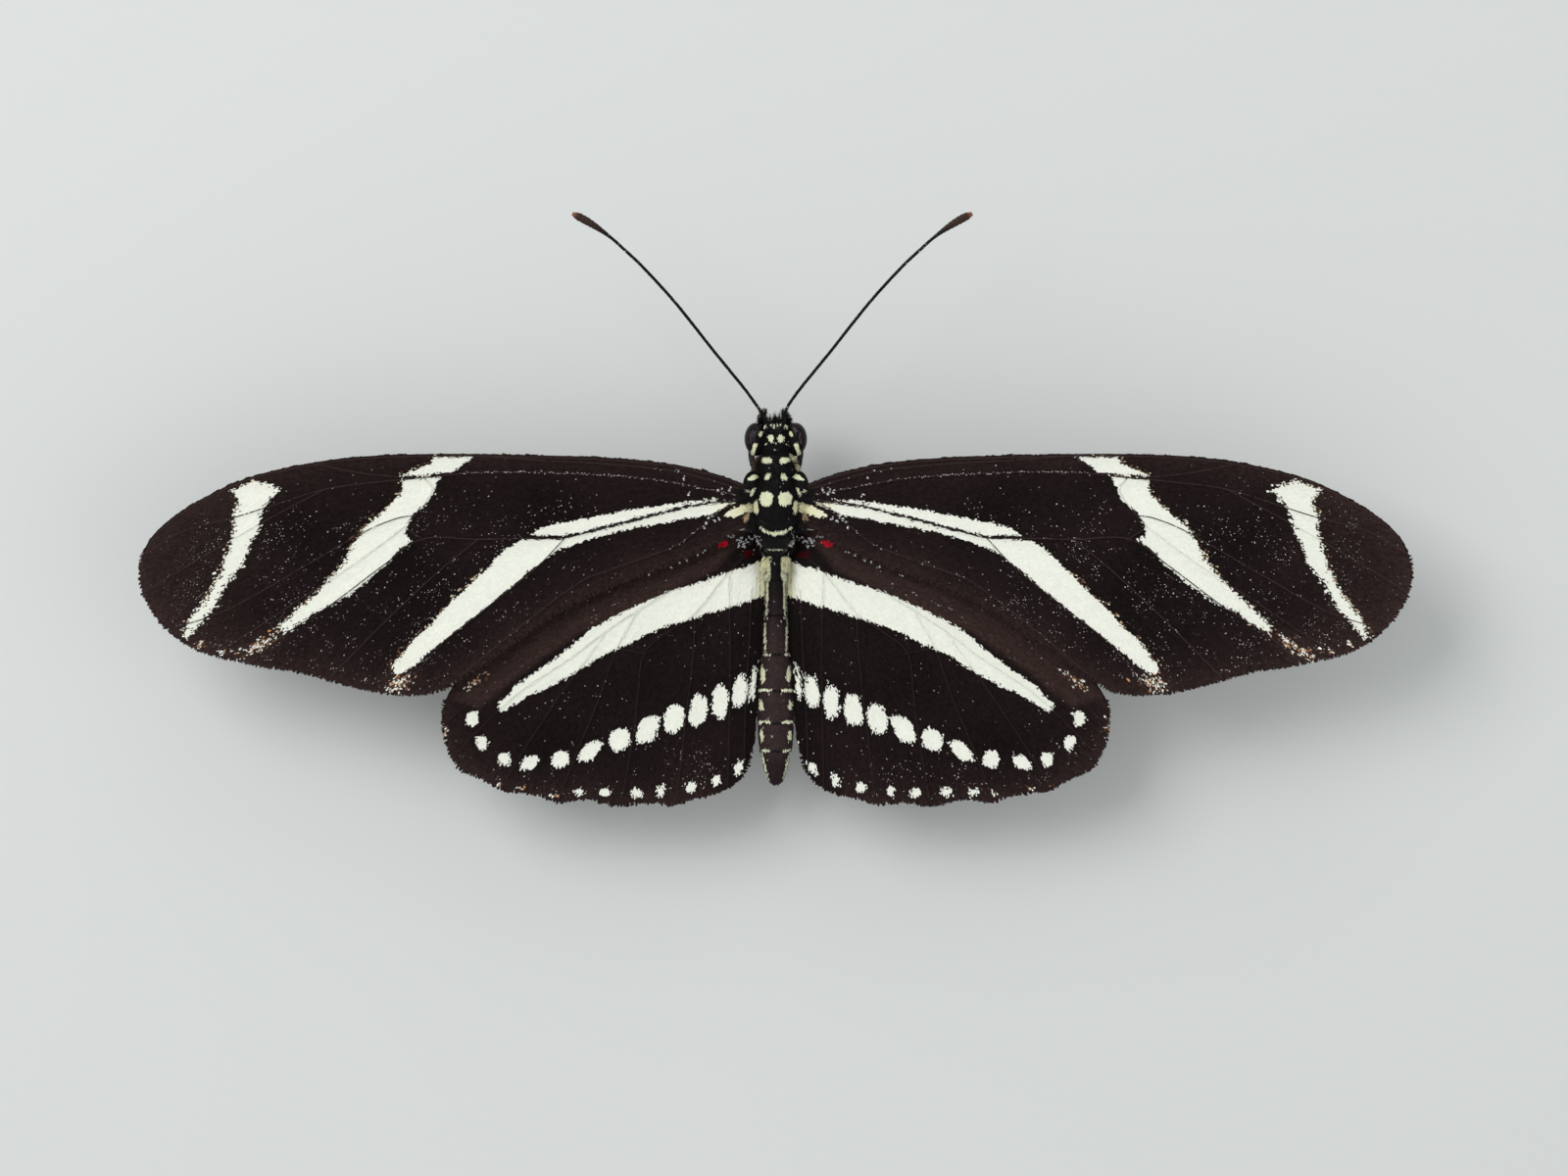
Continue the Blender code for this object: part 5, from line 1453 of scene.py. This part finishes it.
def build_palps(skin, scales, hairs):
    """Two upturned palps with bristly scales."""
    rng = np.random.default_rng(SEEDS["palps"])
    for name, side in SIDES.items():
        line, radii = tube_line(PALP)
        line[:, 0] += PALP_SHIFT[name] * smooth_step(line[:, 1], 5.2, 6.0)
        new_piece("palp_" + name + "_skin", *placed(tube(line, radii), side), skin, "body", ("palp_" + name,),
                  tint=BODY_GROUND)
        root, out, heading, place = tube_roots(line, radii, 500, rng)
        pale = (out[:, 0] > 0.35) & (out[:, 2] < 0.3) & (rng.random(len(root)) < 0.75)
        tint = shaded(np.where(pale[:, None], BODY_PALE * 0.85, BODY_GROUND), 0.8, 1.2, len(root), rng)
        coat = scales_along(root, heading, out, PALP_SCALE, tint, place)
        scale_coat("palp_" + name + "_scales", [coat], scales, "body", side)
        hair = tube_hairs(line, radii, 260, (0.18, 0.38), (0.8, 0.35), HAIR_SINK, 0.03, BODY_GROUND * 1.5,
                          rng)
        hair_coat("palp_" + name + "_hair", [hair], hairs, "body", side)


def build_tongue():
    """The coiled tongue: a root that runs down from the mouth into a spring of a few turns."""
    share = np.linspace(0.0, 1.0, 150)
    angle = COIL_START - share * COIL_TURNS * 2 * math.pi
    reach = COIL_OUTER + (COIL_INNER - COIL_OUTER) * share ** 0.85
    coil = np.column_stack([0.06 * np.sin(share * 5.0), COIL_MIDDLE[0] + reach * np.cos(angle),
                            COIL_MIDDLE[1] + reach * np.sin(angle)])
    bend = np.array(TONGUE_ROOT) * 0.4 + coil[0] * 0.6 + [0, -0.06, 0]
    line = curve_through(np.vstack([TONGUE_ROOT, bend, coil[::3]]), 0.05)
    radii = TONGUE_RADIUS * (1 - 0.6 * np.linspace(0, 1, len(line)))
    radii *= 1 - 0.06 * np.maximum(0.0, np.cos(np.arange(len(line)) * 0.05 / TONGUE_RING * 2 * math.pi))
    new_piece("tongue_coil", *tube(line, radii, 18), plain_material("tongue_rings", 0.35, 0.4, 0.05, 0.006),
              "proboscis", ("proboscis",), tint=TONGUE_BROWN)


def claws(line):
    """The two small claws at the end of a foot."""
    end, way = line[-1], unit(line[-1] - line[-4])
    across = np.array([-way[1], way[0], 0.0])
    for fork in (-1, 1):
        course = [(0.0, 0.04, 0.0, 0.05), (0.12, 0.1, 0.02, 0.035), (0.24, 0.12, -0.06, 0.012)]
        points = [(*(end + way * ahead + across * beside * fork + [0, 0, up]), radius)
                  for ahead, beside, up, radius in course]
        yield tube(*tube_line(points, 0.03), 8, (0.02 + 0.2 * (fork + 1), 0.9, 0.15, 0.06))


def build_legs(skin, scales, hairs):
    """Every leg as one skin of segments with scales and spines, and claws on all but the forelegs."""
    rng = np.random.default_rng(SEEDS["legs"])
    for leg, segments in LEGS.items():
        for name, side in SIDES.items():
            parts, coats, spines = [], [], []
            for index, points in enumerate(segments):
                line, radii = tube_line(points)
                if index == TARSUS:
                    line[:, 2] = np.maximum(line[:, 2], radii + FLOOR_GAP)
                    joints = np.cos(np.arange(len(line)) * LINE_STEP / TARSUS_SEGMENT * 2 * math.pi)
                    radii = radii * (1 - 0.22 * np.maximum(0.0, joints) ** 4)
                row = 0.02 + 0.2 * index
                on_row = np.array([[1.0, 0.5], [0.0, row]])
                parts.append(tube(line, radii, 16, (0.02, row, 0.96, 0.17)))
                length = len(line) * LINE_STEP
                root, out, heading, place = tube_roots(line, radii, int(length * radii.mean() * 900), rng)
                count = len(root)
                pale = (out[:, 2] < -0.35) & (rng.random(count) < 0.6) & (index > 0)
                tint = shaded(np.where(pale[:, None], LEG_PALE * 0.8, LEG_DARK), 0.7, 1.3, count, rng)
                place = place * on_row[0] + on_row[1]
                high = (root[:, 2] > 0.05) & ((root + heading * LEG_SCALE[0])[:, 2] > 0.05)
                root, heading, out, tint, place = chosen(high, root, heading, out, tint, place)
                coats.append(scales_along(root, heading, out, LEG_SCALE, tint, place))
                count = int(length * (16 if index >= 2 else 9))
                root, mid, tip, width, tint, place = tube_hairs(line, radii, count, (0.1, 0.26), (0.9, 0.5),
                                                                0.02, 0.026, LEG_DARK * 0.7, rng)
                root, mid, tip, place = chosen(tip[:, 2] > 0.04, root, mid, tip, place)
                spines.append((root, mid, tip, width, tint, place * on_row[0] + on_row[1]))
            if leg != "foreleg":
                parts += claws(line)
            piece = leg + "_" + name
            new_piece(piece + "_skin", *placed(joined(parts), side), skin, "leg",
                      tuple(node + "_" + name for node in LEG_NODES[leg]), tint=LEG_DARK)
            scale_coat(piece + "_scales", coats, scales, "leg", side)
            hair_coat(piece + "_spines", spines, hairs, "leg", side)


def build_tegulae(skin, scales, hairs):
    """The scaly plates over the forewings' roots, with hair that runs out on to the wings."""
    rng = np.random.default_rng(SEEDS["tegulae"])
    for name, side in SIDES.items():
        new_piece("tegula_" + name, *placed(ellipsoid(TEGULA_MIDDLE, TEGULA_RADII), side), skin, "body",
                  tint=BODY_GROUND)
        out = unit(rng.normal(0.0, 1.0, (4400, 3)))
        out = out[(out[:, 2] > -0.1) | (out[:, 0] > -0.2)]
        root = TEGULA_MIDDLE + out * TEGULA_RADII
        up = unit(out / TEGULA_RADII)
        heading = brushed(up, [0.75, -0.65, -0.1])
        plan = (root + heading * 0.09)[:, :2]
        edge = np.min([spot_distance(plan, *spot) for spot in TEGULA_SPOTS], axis=0)
        pale = (edge + rng.normal(0, 0.02, len(out)) < 0) & (out[:, 2] > 0)
        tint = speckled(pale, BODY_PALE, BODY_GROUND * 1.2, rng)
        place = np.stack([np.where(out[:, 2] > 0, 0.25, 0.75) + out[:, 0] * 0.22, 0.5 + out[:, 1] * 0.45],
                         axis=1)
        coat = scales_along(root, heading, up, TEGULA_SCALE, tint, place)
        scale_coat("tegula_" + name + "_scales", [coat], scales, "body", side)
        coats = []
        for count, low, high, way, length, colour in WING_ROOT_HAIR:
            root = rng.uniform(low, high, (count, 3))
            heading = unit(way + rng.normal(0, 0.22, (count, 3)))
            mid, tip = bent(root, heading, unit(heading - [0, 0, 0.3]), rng.uniform(*length, count))
            tint = shaded(colour, 0.6, 1.4, count, rng)
            place = (root[:, :2] + [-1.0, 2.5]) / [1.5, 4.5] * 0.8 + 0.1
            coats.append((root, mid, tip, 0.035, tint, place))
        hair_coat("wing_root_" + name + "_hair", coats, hairs, "body", side)


def build_stage():
    """The camera straight above, a pale floor and soft studio light."""
    scene = bpy.context.scene
    data = bpy.data.cameras.new("camera")
    data.sensor_width = SENSOR
    data.lens = SENSOR * (CAMERA_AT[2] - WING_LEVEL) / VIEW_WIDTH
    data.clip_start = 0.01
    data.clip_end = 20.0
    camera = bpy.data.objects.new("camera", data)
    camera.location = [c * MM for c in CAMERA_AT]
    scene.collection.objects.link(camera)
    scene.camera = camera

    surface = Surface("pale_floor", 0.8, 0.2)
    surface.feed(surface.shader, {"Base Color": (*FLOOR_GREY, 1.0)})
    bpy.ops.mesh.primitive_plane_add(size=FLOOR_SIZE)
    floor = bpy.context.object
    floor.name = "floor"
    floor.data.materials.append(surface.material)

    for name, power, size, place in LIGHTS:
        light = bpy.data.lights.new(name, "AREA")
        light.energy = power
        light.size = size
        lamp = bpy.data.objects.new(name, light)
        lamp.location = place
        lamp.rotation_euler = Vector(place).to_track_quat("Z", "Y").to_euler()
        scene.collection.objects.link(lamp)

    world = bpy.data.worlds.new("soft_light")
    scene.world = world
    world.use_nodes = True
    background = world.node_tree.nodes["Background"]
    background.inputs["Color"].default_value = (0.95, 0.98, 1.0, 1.0)
    background.inputs["Strength"].default_value = 0.6
    scene.view_settings.view_transform = "Standard"


def build_body():
    """The body, head, legs and what grows on them."""
    skin = plain_material("dark_skin", 0.45, 0.35, 0.08, 0.01)
    scales = coat_material("body_scales", 0.6, 0.08, 0.0)
    hairs = coat_material("body_hair", 0.6, 0.1, 0.05)
    build_body_skin()
    build_body_coat(scales)
    build_body_hair(hairs)
    build_eyes()
    build_cheeks(skin, scales)
    build_antennae(scales)
    build_palps(skin, scales, hairs)
    build_tongue()
    build_legs(skin, scales, hairs)
    build_tegulae(skin, scales, hairs)


build_stage()
build_wings()
build_body()
